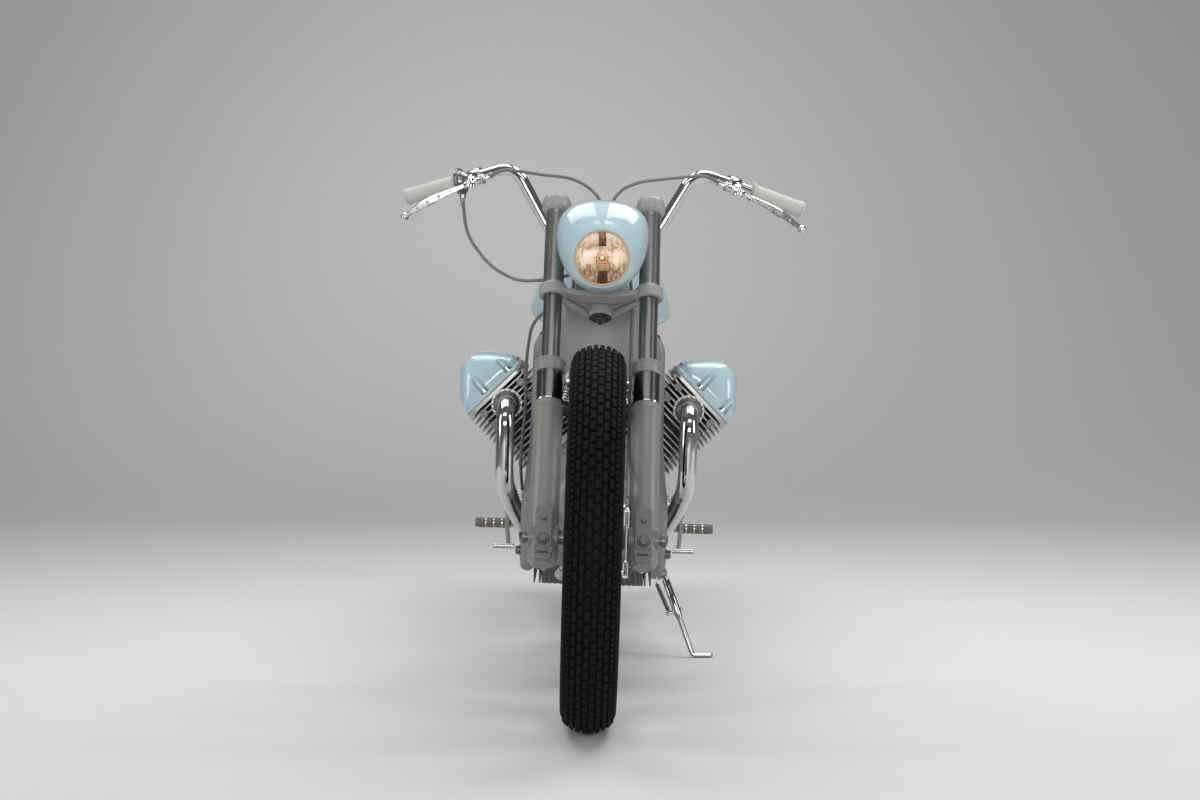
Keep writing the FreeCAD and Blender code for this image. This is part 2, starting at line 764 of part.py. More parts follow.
def rocker_cover(side):
    """Cover like a rounded roof over the head, scalloped round its screws."""
    base = cover_distance + 0.2
    half_width = head_fin_width / 2 - 2
    half_length = head_fin_length / 2 - 3
    foot = block(Vector(-half_width, -half_length, base),
                 Vector(half_width, half_length, base + cover_foot_height))
    corners = [edge for edge in foot.Edges if edge.BoundBox.ZLength > cover_foot_height - 1]
    foot = foot.makeFillet(20, corners)
    rings = []
    for height, across, along_crank, squareness in cover_sections:
        ring = oval_ring(0, 0, across, along_crank, squareness)
        turn = FreeCAD.Rotation(X_AXIS, 90)
        ring.Placement = FreeCAD.Placement(Vector(0, 0, base + height), turn)
        rings.append(ring)
    body = fuse([foot, Part.makeLoft(rings, True)])
    roof = cover_sections[-1][0]
    for across, along_crank in cover_screws:
        for y_side in SIDES:
            spot = Vector(across, y_side * along_crank, base + cover_foot_height)
            body = body.cut(Part.makeCylinder(cover_scallop_radius, roof, spot))
    return in_cylinder(body, side)


def crankcase():
    """Engine block between the two cylinder decks."""
    front = crank_rear - case_reach
    deck = deck_distance / math.sqrt(2)
    half_deck = 62 / math.sqrt(2)
    low = sump_base + 38 - crank_height
    outline = [(106, low), (106, -52), (134, -26), (deck + half_deck, deck - half_deck),
               (deck - half_deck, deck + half_deck)]
    outline += [(-x, z) for x, z in reversed(outline)]
    points = [Vector(x, front, crank_height + z) for x, z in outline]
    body = polygon_face(points).extrude(Vector(0, case_length, 0))
    return body


def timing_cover():
    """Front cover with the round generator bulge."""
    front = crank_rear - case_reach - 0.2
    plate_rings = []
    for rear, shrink in ((front, 0), (front - 22, 6), (front - 28, 14)):
        plate_rings.append(oval_ring(rear, crank_height - 6, 100 - shrink, 112 - shrink, 3.2))
    plate = Part.makeLoft(plate_rings, True)
    bulge = turned([(0, 0), (0, 78), (14, 78), (24, 70), (30, 52), (32, 0)],
                   Vector(0, front - 20, crank_height), Vector(0, -1, 0))
    return fuse([plate, bulge])


def sump():
    """Finned oil pan under the crankcase."""
    front = crank_rear - case_reach + 4
    top = sump_base + 37.8
    length = case_length - 8
    pan = block(Vector(-sump_half_width + 14, front, sump_base + 16),
                Vector(sump_half_width - 14, front + length, top))
    flange = block(Vector(-sump_half_width, front, top - 8),
                   Vector(sump_half_width, front + length, top))
    pieces = [pan, flange]
    count = 23
    pitch = 2 * sump_half_width / (count - 1)
    for index in range(count):
        x = -sump_half_width + index * pitch
        drop = 4 * abs(x) / sump_half_width
        pieces.append(block(Vector(x - 1.6, front, sump_base + drop),
                            Vector(x + 1.6, front + length, top - 4)))
    return fuse(pieces)


def gearbox():
    """Clutch bell housing and gearbox behind the engine."""
    front = crank_rear + case_length - case_reach + 0.2
    bell = turned([(0, 0), (0, 132), (20, 132), (70, 112), (90, 86), (90, 0)],
                  Vector(0, front, crank_height), Y_AXIS)
    box = block(Vector(-78, front + 40, crank_height - 88), Vector(70, front + 236, crank_height + 62))
    box = box.makeFillet(14, [edge for edge in box.Edges if edge.BoundBox.YLength > 100])
    output = Part.makeCylinder(24, 50, Vector(-36, front + 198, pivot_height), Y_AXIS)
    trim = block(Vector(-200, front - 50, crank_height - 200),
                 Vector(200, front + 300, sump_base + 52))
    return fuse([bell, box, output]).cut(trim)


def port_centre(side):
    """Middle of a cylinder's exhaust port flange."""
    place = cylinder_place(side)
    return place.multVec(Vector(0, -head_fin_length / 2 - 14, head_distance + 44))


def exhaust(side):
    """Finned crown nut, bent header and tucked-in silencer."""
    port = port_centre(side) + Vector(0, -0.2, 0)
    crown = turned([(0, 0), (0, 26), (6, 26), (8, 21), (12, 21), (14, 25), (20, 24), (24, 19), (24, 0)],
                   port, Vector(0, -1, 0))
    x = abs(port.x)
    points = [
        Vector(x, port.y - 20, port.z), Vector(x, port.y - 62, port.z),
        Vector(x - 1, port.y - 62, 398), Vector(160, 520, 345), Vector(134, 570, 294),
        Vector(134, 860, 288), Vector(128, 940, 262), Vector(128, 980, 260)]
    if side < 0:
        points = [Vector(-point.x, point.y, point.z) for point in points]
    bends = [38, 60, 50, 80, 160, 60]
    pipe = bent_tube(points, header_radius, bends)
    body = turned([(0, 0), (0, header_radius + 2), (26, 32), (150, 32), (158, 28), (158, 22),
                   (120, 22), (120, 0)], points[-1] + Vector(0, -20, 0), Y_AXIS)
    return fuse([crown, pipe, body])


def carburettors():
    """Carburettors behind the heads' inlet ports, inside the V."""
    result = []
    for side in SIDES:
        place = cylinder_place(side)
        port = place.multVec(Vector(0, head_fin_length / 2 + 14.2, head_distance + 44))
        inward = Vector(-side * 60, 40, 0)
        pipe = bent_tube([port, port + Vector(0, 34, 0), port + Vector(0, 34, 0) + inward], 19, 20)
        start = port + Vector(0, 34, 0) + inward
        along = unit(inward)
        body = rod(start, start + along * 50, 26)
        bowl = rod(start + along * 25 + Vector(0, 0, -52), start + along * 25 + Vector(0, 0, 46), 20)
        result.append(fuse([pipe, body, bowl]))
    return result


# Frame


def steering_head():
    """Head tube with gussets to the top rails."""
    base = lower_clamp_base + lower_clamp_height + seat_gap - 6
    top = upper_clamp_base - seat_gap
    tube = Part.makeCylinder(head_tube_radius, top - base, Vector(0, stem_offset, base))
    hole = Part.makeCylinder(stem_radius + stem_clearance, top - base + 40,
                             Vector(0, stem_offset, base - 20))
    web = polygon_face([
        Vector(-14, stem_offset + 20, base + 14), Vector(-14, stem_offset + 20, top - 30),
        Vector(-14, stem_offset + 59.5, top - 50), Vector(-14, stem_offset + 59.5, base + 24)])
    body = fuse([tube, web.extrude(Vector(28, 0, 0))])
    return to_bike(body.cut(hole))


def rail_loop(radius):
    """Bent loop tube from the head, under tank and seat, round the tail and back."""
    left = [
        Vector(30, 394, 790), Vector(42, 478, 760), Vector(52, 840, 692), rail_elbow, rail_tail]
    right = [Vector(-point.x, point.y, point.z) for point in reversed(left)]
    return bent_tube(left + right, radius, [120, 160, 160, 60, 60, 160, 160, 120])


def top_rails():
    """The loop tube with its cross tubes, uprights and shock mounts."""
    loop = rail_loop(rail_tube_radius)
    neck = rod(Vector(-30, 394, 790), Vector(30, 394, 790), rail_tube_radius)
    cross = rod(Vector(-60, 860, 688), Vector(60, 860, 688), 11)
    pieces = [loop, neck, cross]
    for side in SIDES:
        foot = Vector(side * upright_foot.x, upright_foot.y, upright_foot.z)
        head = Vector(side * upright_head.x, upright_head.y, upright_head.z)
        pieces.append(rod(foot, head, rail_tube_radius))
        pieces.append(block(Vector(side * 111 - 6, shock_top.y - 8, shock_top.z + shock_eye_radius + seat_gap),
                            Vector(side * 111 + 6, shock_top.y + 8, shock_top.z + 24)))
    return fuse(pieces)


def pivot_plates():
    """Plates that carry the swingarm pivot and join rails to uprights."""
    plates = []
    for side in SIDES:
        face = polygon_face([
            Vector(side * 84, 950, rail_height + rail_tube_radius),
            Vector(side * 84, 1006, rail_height + rail_tube_radius),
            Vector(side * 84, 1022, pivot_height + 20), Vector(side * 84, 1008, pivot_height + 70),
            Vector(side * 84, 966, pivot_height + 70), Vector(side * 84, 944, pivot_height - 10)])
        plates.append(face.extrude(Vector(side * 10, 0, 0)))
    spindle = rod(Vector(-104, pivot_rear, pivot_height), Vector(104, pivot_rear, pivot_height),
                  pivot_radius)
    return fuse(plates + [spindle])


def downtube(radius=frame_tube_radius):
    """Left front tube from its top rail, over a wide shoulder, down to the cradle."""
    shoulder_rear = downtube_rear - 2
    points = [Vector(39, 468.7, 756), Vector(42, 474, 695), Vector(112, shoulder_rear, 672),
              Vector(114, shoulder_rear, 470), Vector(downtube_side, downtube_rear, 350),
              Vector(downtube_side, downtube_rear, 288)]
    return bent_tube(points, radius, [30, 30, 200, 120]).cut(rail_loop(rail_tube_radius + seat_gap))


def lower_rail():
    """Left bolted cradle rail with its front eye."""
    eye = turned([(0, 0), (0, frame_tube_radius + 2), (8, frame_tube_radius + 2),
                  (10, frame_tube_radius), (44, frame_tube_radius), (56, 12), (61, 4), (61, 0)],
                 Vector(downtube_side, downtube_rear, 287.8), Vector(0, 0, -1))
    bolt = rod(Vector(downtube_side - 18, downtube_rear, 262),
               Vector(downtube_side + 25, downtube_rear, 262), 8)
    points = [Vector(downtube_side, downtube_rear, rail_height), Vector(downtube_side, 780, rail_height),
              Vector(88, 900, rail_height), Vector(88, 1000, rail_height)]
    rail = bent_tube(points, rail_tube_radius, 90)
    return fuse([eye, bolt, rail])


def lower_rails():
    """Both cradle rails; the left one carries the side stand's lug."""
    left = lower_rail()
    lug = polygon_face([
        Vector(88, stand_pivot.y - 12, rail_height + 6), Vector(102, stand_pivot.y - 12, rail_height - 12),
        Vector(122, stand_pivot.y - 12, stand_pivot.z - 12), Vector(133, stand_pivot.y - 12, stand_pivot.z - 14),
        Vector(131, stand_pivot.y - 12, stand_pivot.z + 12), Vector(112, stand_pivot.y - 12, rail_height + 8)])
    disc = rod(stand_pivot - stand_axis * 9, stand_pivot - stand_axis * 2, 14)
    pin = rod(stand_pivot - stand_axis * 8, stand_pivot + stand_axis * 14, 6)
    return [fuse([left, lug.extrude(Vector(0, 24, 0)), disc, pin]), mirror_x(lower_rail())]


def neck_panel():
    """Formed panel behind the front wheel, from downtube to downtube."""
    outline = [
        Vector(-102, 462, 0), Vector(-66, 424, 0), Vector(66, 424, 0), Vector(102, 462, 0),
        Vector(98, 466, 0), Vector(64, 430, 0), Vector(-64, 430, 0), Vector(-98, 466, 0)]
    panel = move(polygon_face(outline), Vector(0, 0, 590)).extrude(Vector(0, 0, 150))
    arch = Part.makeCylinder(58, 200, Vector(0, 380, 585), Y_AXIS)
    panel = panel.cut(arch)
    for clearance in both_sides(downtube(frame_tube_radius + seat_gap)):
        panel = panel.cut(clearance)
    return panel


def swingarm():
    """Rear fork: a plain left arm and a shaft tube on the right."""
    cross = rod(Vector(-80, pivot_rear, pivot_height), Vector(80, pivot_rear, pivot_height), 24)
    left = bent_tube([
        Vector(58, pivot_rear + 12, pivot_height), Vector(58, swingarm_bend_rear - 90, pivot_height),
        Vector(104, swingarm_bend_rear, pivot_height), Vector(104, wheelbase - 5, rear_tyre_radius)],
        16, 50)
    right = bent_tube([
        Vector(-50, pivot_rear + 12, pivot_height), Vector(-50, swingarm_bend_rear - 100, pivot_height),
        Vector(-100, swingarm_bend_rear - 10, pivot_height),
        Vector(-100, wheelbase - 86, rear_tyre_radius)], 27, 60)
    tip = rod(Vector(86, wheelbase, rear_tyre_radius), Vector(122, wheelbase, rear_tyre_radius), 24)
    pieces = [cross, left, right, tip]
    for side in SIDES:
        pieces.append(block(
            Vector(side * shock_foot.x - 6, shock_foot.y - 8, shock_foot.z - shock_block_height),
            Vector(side * shock_foot.x + 6, shock_foot.y + 8, shock_foot.z - shock_eye_radius - seat_gap)))
    body = fuse(pieces)
    body = body.cut(rod(Vector(-90, pivot_rear, pivot_height), Vector(90, pivot_rear, pivot_height),
                        pivot_radius + 0.05))
    return body.cut(rod(Vector(60, wheelbase, rear_tyre_radius),
                        Vector(140, wheelbase, rear_tyre_radius), axle_radius))


def final_drive():
    """Bevel gear housing on the right of the rear wheel."""
    body = turned([(50, 0), (50, 60), (56, 74), (84, 78), (104, 66), (116, 40), (118, 0)],
                  Vector(0, wheelbase, rear_tyre_radius), Vector(-1, 0, 0))
    neck = rod(Vector(-100, wheelbase - 85.8, rear_tyre_radius),
               Vector(-100, wheelbase - 20, rear_tyre_radius), 30)
    body = fuse([body, neck])
    return body.cut(rod(Vector(0, wheelbase, rear_tyre_radius),
                        Vector(-200, wheelbase, rear_tyre_radius), axle_radius))


def rear_axle():
    """Rear spindle with a nut at each end."""
    outline = [(-130, 0), (-130, 13), (-118.6, 13), (-118.6, axle_radius), (122.2, axle_radius),
               (122.2, 13), (134, 13), (134, 0)]
    return turned(outline, Vector(0, wheelbase, rear_tyre_radius), X_AXIS)


def shock():
    """Left rear spring unit, its coils as ridges on one turned body."""
    along = unit(shock_top - shock_foot)
    span = (shock_top - shock_foot).Length
    outline = [(6, 0), (6, 8), (18, 8), (18, 20), (92, 20)]
    for index in range(10):
        start = 94 + index * 14
        outline += [(start, 19), (start + 1, 25), (start + 7, 25), (start + 8, 19)]
    outline += [(span - 62, 22), (span - 20, 22), (span - 20, 8), (span - 6, 8), (span - 6, 0)]
    pieces = [turned(outline, shock_foot, along)]
    for eye in (shock_foot, shock_top):
        pieces.append(rod(eye - X_AXIS * 10, eye + X_AXIS * 10, shock_eye_radius))
    return fuse(pieces)


def tank_ring(rear, base, wide, top, half_width, top_width):
    """Tank section: flat-bottomed, widest low down and narrow at the top."""
    side = [
        Vector(half_width * 0.62, rear, base), Vector(half_width * 0.95, rear, base + 0.45 * (wide - base)),
        Vector(half_width, rear, wide), Vector(0.5 * (half_width + top_width), rear, 0.5 * (wide + top)),
        Vector(top_width * 0.9, rear, top - 0.12 * (top - wide))]
    crown = [Vector(0, rear, top)]
    floor = [Vector(0, rear, base - 2)]
    mirrored = [Vector(-point.x, point.y, point.z) for point in reversed(side)]
    return smooth_ring(side + crown + mirrored + floor)


def tank():
    """Fuel tank, tunnelled for the top rails."""
    rings = [
        tank_ring(446, 724, 750, 812, 64, 38),
        tank_ring(500, 698, 736, 846, 112, 60),
        tank_ring(600, 690, 733, 880, 136, 84),
        tank_ring(740, 692, 738, 872, 126, 80),
        tank_ring(850, 702, 742, 818, 92, 62),
        tank_ring(896, 712, 738, 782, 60, 40),
    ]
    body = Part.makeLoft(rings, True)
    body = body.cut(Part.makeCylinder(31, 60, Vector(0, cap_rear, cap_height)))
    tunnel = polygon_face([
        Vector(-70, 420, 640), Vector(-70, 420, 802), Vector(-70, 478, 782),
        Vector(-70, 860, 712), Vector(-70, 920, 640)])
    return body.cut(tunnel.extrude(Vector(140, 0, 0)))


def filler_cap():
    """Round filler cap on the tank's crown."""
    return turned([(0, 0), (0, 30), (10, 30), (14, 26), (16, 10), (16, 0)],
                  Vector(0, cap_rear, cap_height + 0.2), Z_AXIS)


def seat():
    """Long low seat on the rails."""
    rings = []
    for rear, base, top, half in ((900, 16, 56, 62), (960, 6, 68, 92), (1060, 6, 66, 112),
                                  (rail_tail.y - 150, 16, 82, 114), (rail_tail.y - 50, 22, 86, 96),
                                  (rail_tail.y - 18, 28, 76, 70)):
        rings.append(oval_ring(rear, rail_tail.z + (base + top) / 2, half, (top - base) / 2, 3.2))
    pieces = [Part.makeLoft(rings, True)]
    foot_radius = 7
    slope = (rail_tail.z - rail_elbow.z) / (rail_tail.y - rail_elbow.y)
    for side in SIDES:
        for rear, top in ((1060, rail_tail.z + 24), (1200, rail_tail.z + 36)):
            ahead = (rear - rail_elbow.y) / (rail_tail.y - rail_elbow.y)
            across = rail_elbow.x + (rail_tail.x - rail_elbow.x) * ahead
            rail_top = rail_elbow.z + slope * (rear + foot_radius - rail_elbow.y) + rail_tube_radius
            pieces.append(rod(Vector(side * across, rear, rail_top + 1.5 * seat_gap),
                              Vector(side * across, rear, top), foot_radius))
    return fuse(pieces)


def rear_fender():
    """Short rounded guard over the rear tyre."""
    inner = rear_tyre_radius + 16
    section = [
        Vector(-70, 0, inner - 26), Vector(-58, 0, inner), Vector(0, 0, inner + 10),
        Vector(58, 0, inner), Vector(70, 0, inner - 26)]
    outer = Part.Wire([
        Part.Arc(section[0], section[1], section[2]).toShape(),
        Part.Arc(section[2], section[3], section[4]).toShape()])
    wall = 2.5
    lifted = [
        Vector(-70 - wall, 0, inner - 26), Vector(-59.5, 0, inner + wall * 0.8),
        Vector(0, 0, inner + 10 + wall), Vector(59.5, 0, inner + wall * 0.8),
        Vector(70 + wall, 0, inner - 26)]
    upper = Part.Wire([
        Part.Arc(lifted[0], lifted[1], lifted[2]).toShape(),
        Part.Arc(lifted[2], lifted[3], lifted[4]).toShape()])
    ends = [Part.LineSegment(section[4], lifted[4]).toShape(),
            Part.LineSegment(lifted[0], section[0]).toShape()]
    face = Part.Face(Part.Wire(outer.Edges + [ends[0]] + list(reversed(upper.Edges)) + [ends[1]]))
    guard = face.revolve(ORIGIN, X_AXIS, -118)
    turn = FreeCAD.Rotation(X_AXIS, 34)
    guard.Placement = FreeCAD.Placement(Vector(0, wheelbase, rear_tyre_radius), turn)
    forward = wheelbase - rail_tail.y
    crown = rear_tyre_radius + math.sqrt((inner + 10) ** 2 - forward ** 2) + wall
    foot = Vector(0, rail_tail.y, crown - wall / 2)
    head = Vector(0, rail_tail.y, rail_tail.z - rail_tube_radius - seat_gap)
    return fuse([guard, rod(foot, head, 8)])


def tail_lamp():
    """Small round lamp behind the seat loop."""
    return turned([(0, 0), (0, 18), (14, 26), (24, 28), (34, 26), (40, 14), (41, 0)],
                  Vector(0, rail_tail.y + rail_tube_radius + seat_gap, tail_lamp_height), Y_AXIS)


def battery_box():
    """Electrics box between the uprights, on two cross pins."""
    box = block(Vector(-62, 900, 520), Vector(62, 1010, 650))
    box = box.makeFillet(10, box.Edges)
    pins = []
    for height in (548, 622):
        rise = (height - upright_foot.z) / (upright_head.z - upright_foot.z)
        middle = upright_foot + (upright_head - upright_foot) * rise
        reach = middle.x - rail_tube_radius - seat_gap
        pins.append(rod(Vector(-reach, middle.y, height), Vector(reach, middle.y, height), 6))
    return fuse([box] + pins)


def footpegs():
    """Ribbed foot pegs on their brackets."""
    pegs = []
    outline = [(166, 0), (166, 8), (176, 8), (176, 9.5)]
    for index in range(4):
        start = 178 + index * 17
        outline += [(start, 10.5), (start + 13, 10.5), (start + 13, 9), (start + 17, 9)]
    outline += [(246, 10.5), (249, 9.5), (249, 0)]
    peg = turned(outline, Vector(0, 952, 260), X_AXIS)
    bracket = bent_tube([Vector(94.2, 952, 306), Vector(168, 952, 306), Vector(168, 952, 258)], 7, 12)
    plate = rod(Vector(94.2, 960, 306), Vector(99, 960, 306), 14)
    pin = rod(Vector(166, 952, 288), Vector(188, 952, 288), 5)
    pegs.append(fuse([peg, bracket, plate, pin]))
    return both_sides(pegs[0])


def foot_levers():
    """Gear lever on the left and brake pedal on the right."""
    hub = rod(Vector(175.3, 952, 288), Vector(186, 952, 288), 10)
    arm = bent_tube([Vector(180.5, 946, 286), Vector(180, 880, 262), Vector(172, 762, 235)], 5, 60)
    toe = rod(Vector(160, 762, 235), Vector(204, 762, 235), 5.5)
    bore = rod(Vector(170, 952, 288), Vector(190, 952, 288), 5)
    return both_sides(fuse([hub, arm, toe]).cut(bore))


def engine_cables():
    """Clutch cable down to the gearbox and throttle cable to the carburettors."""
    clutch = [
        cable_crossing("clutch", 0.5), cable_crossing("clutch", 17), fork_point(-74, 96, 515),
        Vector(-94, 380, 740), Vector(-130, 414, 706), Vector(-141, 468, 630),
        Vector(-139, 500, 540), Vector(-148, 508, 430), Vector(-140, 560, 352)]
    throttle = [
        cable_crossing("throttle", 0.5), cable_crossing("throttle", 14), fork_point(-43, 96, 524),
        Vector(-46, 388, 764), Vector(-63, 470, 746), Vector(-63, 556, 704), Vector(-74, 650, 660),
        Vector(-90, 740, 636), Vector(-96, 792, 590)]
    return [cable(clutch), cable(throttle)]


# Side stand


def lean_place():
    """From the upright bike to the bike leaning on its stand."""
    return FreeCAD.Placement(ORIGIN, FreeCAD.Rotation(Y_AXIS, lean_angle))


def upright(point):
    """Upright-bike point of a place given on the leaning bike."""
    return lean_place().inverse().multVec(point)


def side_stand():
    """Prop leg with a bent foot lying on the ground."""
    knee = upright(Vector(stand_foot_side - 10, stand_foot_rear, stand_tube_radius))
    toe = upright(Vector(stand_foot_side + stand_foot_length - 10, stand_foot_rear, stand_tube_radius))
    near = stand_pivot + stand_axis * 5.5
    top = near + unit(knee - near) * 8
    leg = bent_tube([top, knee, toe], stand_tube_radius, 10)
    eye = rod(stand_pivot - stand_axis * 1.5, stand_pivot + stand_axis * 11, 12)
    collar = turned([(18, 0), (18, stand_collar_radius), (92, stand_collar_radius),
                     (104, stand_tube_radius), (104, 0)], near, unit(knee - near))
    body = fuse([leg, eye, collar])
    return body.cut(rod(stand_pivot - stand_axis * 10, stand_pivot + stand_axis * 20, 6.05))


def build_parts():
    """Every node of the upright bike, as a list of solids."""
    parts = {name: [shape] for name, shape in wheel_parts().items()}
    parts["sliders"] = sliders()
    parts["dust_covers"] = dust_covers()
    parts["stanchions"] = stanchions()
    parts["lower_clamp"] = [lower_clamp()]
    parts["upper_clamp"] = [upper_clamp()]
    parts["handlebar"] = [handlebar()]
    parts["grips"] = grips()
    parts["throttle_drum"] = [throttle_drum()]
    parts["lever_perches"] = both_sides(lever_perch())
    parts["levers"] = both_sides(lever())
    parts["nacelle"] = [nacelle()]
    parts["headlight"] = [headlight()]
    parts["headlight_lens"] = [headlight_lens()]
    parts["front_axle"] = [front_axle()]
    parts["brake_plate"] = [brake_plate()]
    parts["steering_cables"] = steering_cables()
    parts["steering_head"] = [steering_head()]
    parts["top_rails"] = [top_rails()]
    parts["pivot_plates"] = [pivot_plates()]
    parts["downtubes"] = both_sides(downtube())
    parts["lower_rails"] = lower_rails()
    parts["neck_panel"] = [neck_panel()]
    parts["tank"] = [tank()]
    parts["filler_cap"] = [filler_cap()]
    parts["seat"] = [seat()]
    parts["rear_fender"] = [rear_fender()]
    parts["tail_lamp"] = [tail_lamp()]
    parts["battery_box"] = [battery_box()]
    parts["crankcase"] = [crankcase()]
    parts["timing_cover"] = [timing_cover()]
    parts["sump"] = [sump()]
    parts["gearbox"] = [gearbox()]
    parts["cylinders"] = [barrel(side) for side in SIDES]
    parts["cylinder_heads"] = [cylinder_head(side) for side in SIDES]
    parts["rocker_covers"] = [rocker_cover(side) for side in SIDES]
    parts["carburettors"] = carburettors()
    parts["exhausts"] = [exhaust(side) for side in SIDES]
    parts["swingarm"] = [swingarm()]
    parts["final_drive"] = [final_drive()]
    parts["rear_axle"] = [rear_axle()]
    parts["shocks"] = both_sides(shock())
    parts["footpegs"] = footpegs()
    parts["foot_levers"] = foot_levers()
    parts["engine_cables"] = engine_cables()
    parts["side_stand"] = [side_stand()]
    return parts


def row_place(parts):
    """Placement that leans the upright bike and centres its box over the origin."""
    leaned = lean_place()
    box = FreeCAD.BoundBox()
    for solids in parts.values():
        for solid in solids:
            copy = solid.copy()
            copy.Placement = leaned.multiply(copy.Placement)
            box.add(copy.optimalBoundingBox(False, False))
    shift = Vector(-box.Center.x, -box.Center.y, -box.ZMin)
    return FreeCAD.Placement(shift, FreeCAD.Rotation()).multiply(leaned)


def write_parts(parts, place):
    """One file for each node, in the leaning bike's frame."""
    os.makedirs("parts", exist_ok=True)
    for name, solids in parts.items():
        placed = []
        for solid in solids:
            copy = solid.copy()
            copy.Placement = place.multiply(copy.Placement)
            placed.append(copy)
        shape = placed[0] if len(placed) == 1 else Part.makeCompound(placed)
        shape.exportStep("parts/" + name + ".step")


parts = build_parts()
place = row_place(parts)
write_parts(parts, place)
print(len(parts), "nodes; shift", place.Base)
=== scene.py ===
import bpy
import bmesh
import json
import math
import numpy as np
from mathutils import Matrix, Vector

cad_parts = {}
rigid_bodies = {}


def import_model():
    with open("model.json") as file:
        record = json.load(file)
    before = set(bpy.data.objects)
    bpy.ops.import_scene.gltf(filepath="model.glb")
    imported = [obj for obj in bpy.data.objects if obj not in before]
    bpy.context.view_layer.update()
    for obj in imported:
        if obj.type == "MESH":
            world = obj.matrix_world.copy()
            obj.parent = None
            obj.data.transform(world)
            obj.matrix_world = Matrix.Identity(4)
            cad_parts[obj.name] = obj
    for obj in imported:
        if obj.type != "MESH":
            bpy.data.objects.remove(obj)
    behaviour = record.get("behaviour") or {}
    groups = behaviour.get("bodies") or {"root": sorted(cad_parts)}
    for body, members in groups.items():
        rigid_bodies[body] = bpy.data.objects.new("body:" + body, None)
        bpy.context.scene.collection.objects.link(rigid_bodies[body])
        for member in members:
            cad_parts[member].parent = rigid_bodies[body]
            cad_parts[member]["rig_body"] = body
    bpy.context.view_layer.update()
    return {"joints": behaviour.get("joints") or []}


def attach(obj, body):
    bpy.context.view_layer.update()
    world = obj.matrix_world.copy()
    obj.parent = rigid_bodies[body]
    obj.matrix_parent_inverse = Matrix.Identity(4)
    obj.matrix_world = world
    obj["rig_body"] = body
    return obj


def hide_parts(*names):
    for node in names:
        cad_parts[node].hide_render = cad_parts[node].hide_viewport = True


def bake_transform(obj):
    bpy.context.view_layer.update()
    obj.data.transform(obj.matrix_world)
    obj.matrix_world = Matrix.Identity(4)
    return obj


# Looks of the custom motorcycle. Shapes are drawn in millimetres on the upright bike, with x to its
# left, y to its rear from the front axle and z up from the ground, and then placed in the shared frame.

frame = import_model()

LEAN = math.radians(1.8)
RAKE = math.radians(29)
WHEELBASE = 1500.0
FRONT_R, FRONT_W = 345.0, 100.0
REAR_R, REAR_W = 330.0, 120.0
LEG_X, FORK_TUBE, SLIDER = 88.5, 17, 26.5
CLAMP_LOW, CLAMP_HIGH, CLAMP_TOP = 478, 655, 679
STEM_Y = 55.0
LAMP = Vector((0, 112, 841))
CRANK = Vector((0, 600, 365))
PIVOT = Vector((0, 985, 330))
SPLAY = math.radians(45)
HEAD_AT, COVER_AT = 250, 286.2
CASE_FRONT = 500
STAND_PIN, STAND_RISE = Vector((140, 872, 176)), math.radians(24)
STAND_AXIS = Vector((math.cos(STAND_RISE), 0, math.sin(STAND_RISE)))
SIDES = (1, -1)

axle = next(j for j in frame["joints"] if j["name"] == "front_wheel")["pos_m"]
LEANING = Matrix.Rotation(LEAN, 4, "Y")
BIKE = (Matrix.Translation(Vector(axle) - LEANING @ Vector((0, 0, FRONT_R / 1000)))
        @ LEANING @ Matrix.Scale(0.001, 4))
FORK = Matrix.Translation((0, 0, FRONT_R)) @ Matrix.Rotation(-RAKE, 4, "X")
X, Y, Z = Vector((1, 0, 0)), Vector((0, 1, 0)), Vector((0, 0, 1))


def bore_frame(side):
    """From a cylinder's own frame, with z up its bore, to the bike."""
    return (Matrix.Translation(CRANK - Vector((0, side * 12, 0)))
            @ Matrix.Rotation(side * SPLAY, 4, "Y"))


# Shapes: (points, faces) in millimetres


def place(shape, matrix):
    points, faces = shape
    m = np.array(matrix)
    return points @ m[:3, :3].T + m[:3, 3], faces


def mirror(shape):
    points, faces = shape
    return points * np.array([-1, 1, 1]), [tuple(reversed(f)) for f in faces]


def both(shapes):
    return list(shapes) + [mirror(s) for s in shapes]


def join(shapes):
    points, faces, base = [], [], 0
    for p, f in shapes:
        points.append(np.asarray(p, float))
        faces += [tuple(i + base for i in face) for face in f]
        base += len(p)
    return np.concatenate(points), faces


def flip(p):
    """Point on the other side of the bike."""
    return Vector((-p[0], p[1], p[2]))


def angles(count):
    """Equal steps once round a circle."""
    return [2 * math.pi * k / count for k in range(count)]


def spline(p0, p1, p2, p3, t):
    """Smooth curve from p1 to p2, led by the points on both sides."""
    return 0.5 * (2 * p1 + (p2 - p0) * t + (2 * p0 - 5 * p1 + 4 * p2 - p3) * t * t
                  + (3 * p1 - p0 - 3 * p2 + p3) * t ** 3)


def along(start, direction):
    """Matrix that puts local z along a direction, from a start."""
    return Matrix.Translation(start) @ Z.rotation_difference(Vector(direction)).to_matrix().to_4x4()


def skin(rings, closed=False, caps=True):
    """Faces between equal rings of points, capped at the ends unless the rings close on themselves."""
    count = len(rings[0])
    points = np.array([tuple(p) for ring in rings for p in ring], float)
    faces = []
    last = len(rings) if closed else len(rings) - 1
    for r in range(last):
        a, b = r * count, ((r + 1) % len(rings)) * count
        for i in range(count):
            j = (i + 1) % count
            faces.append((a + i, a + j, b + j, b + i))
    if caps and not closed:
        faces.append(tuple(reversed(range(count))))
        faces.append(tuple((len(rings) - 1) * count + i for i in range(count)))
    return points, faces


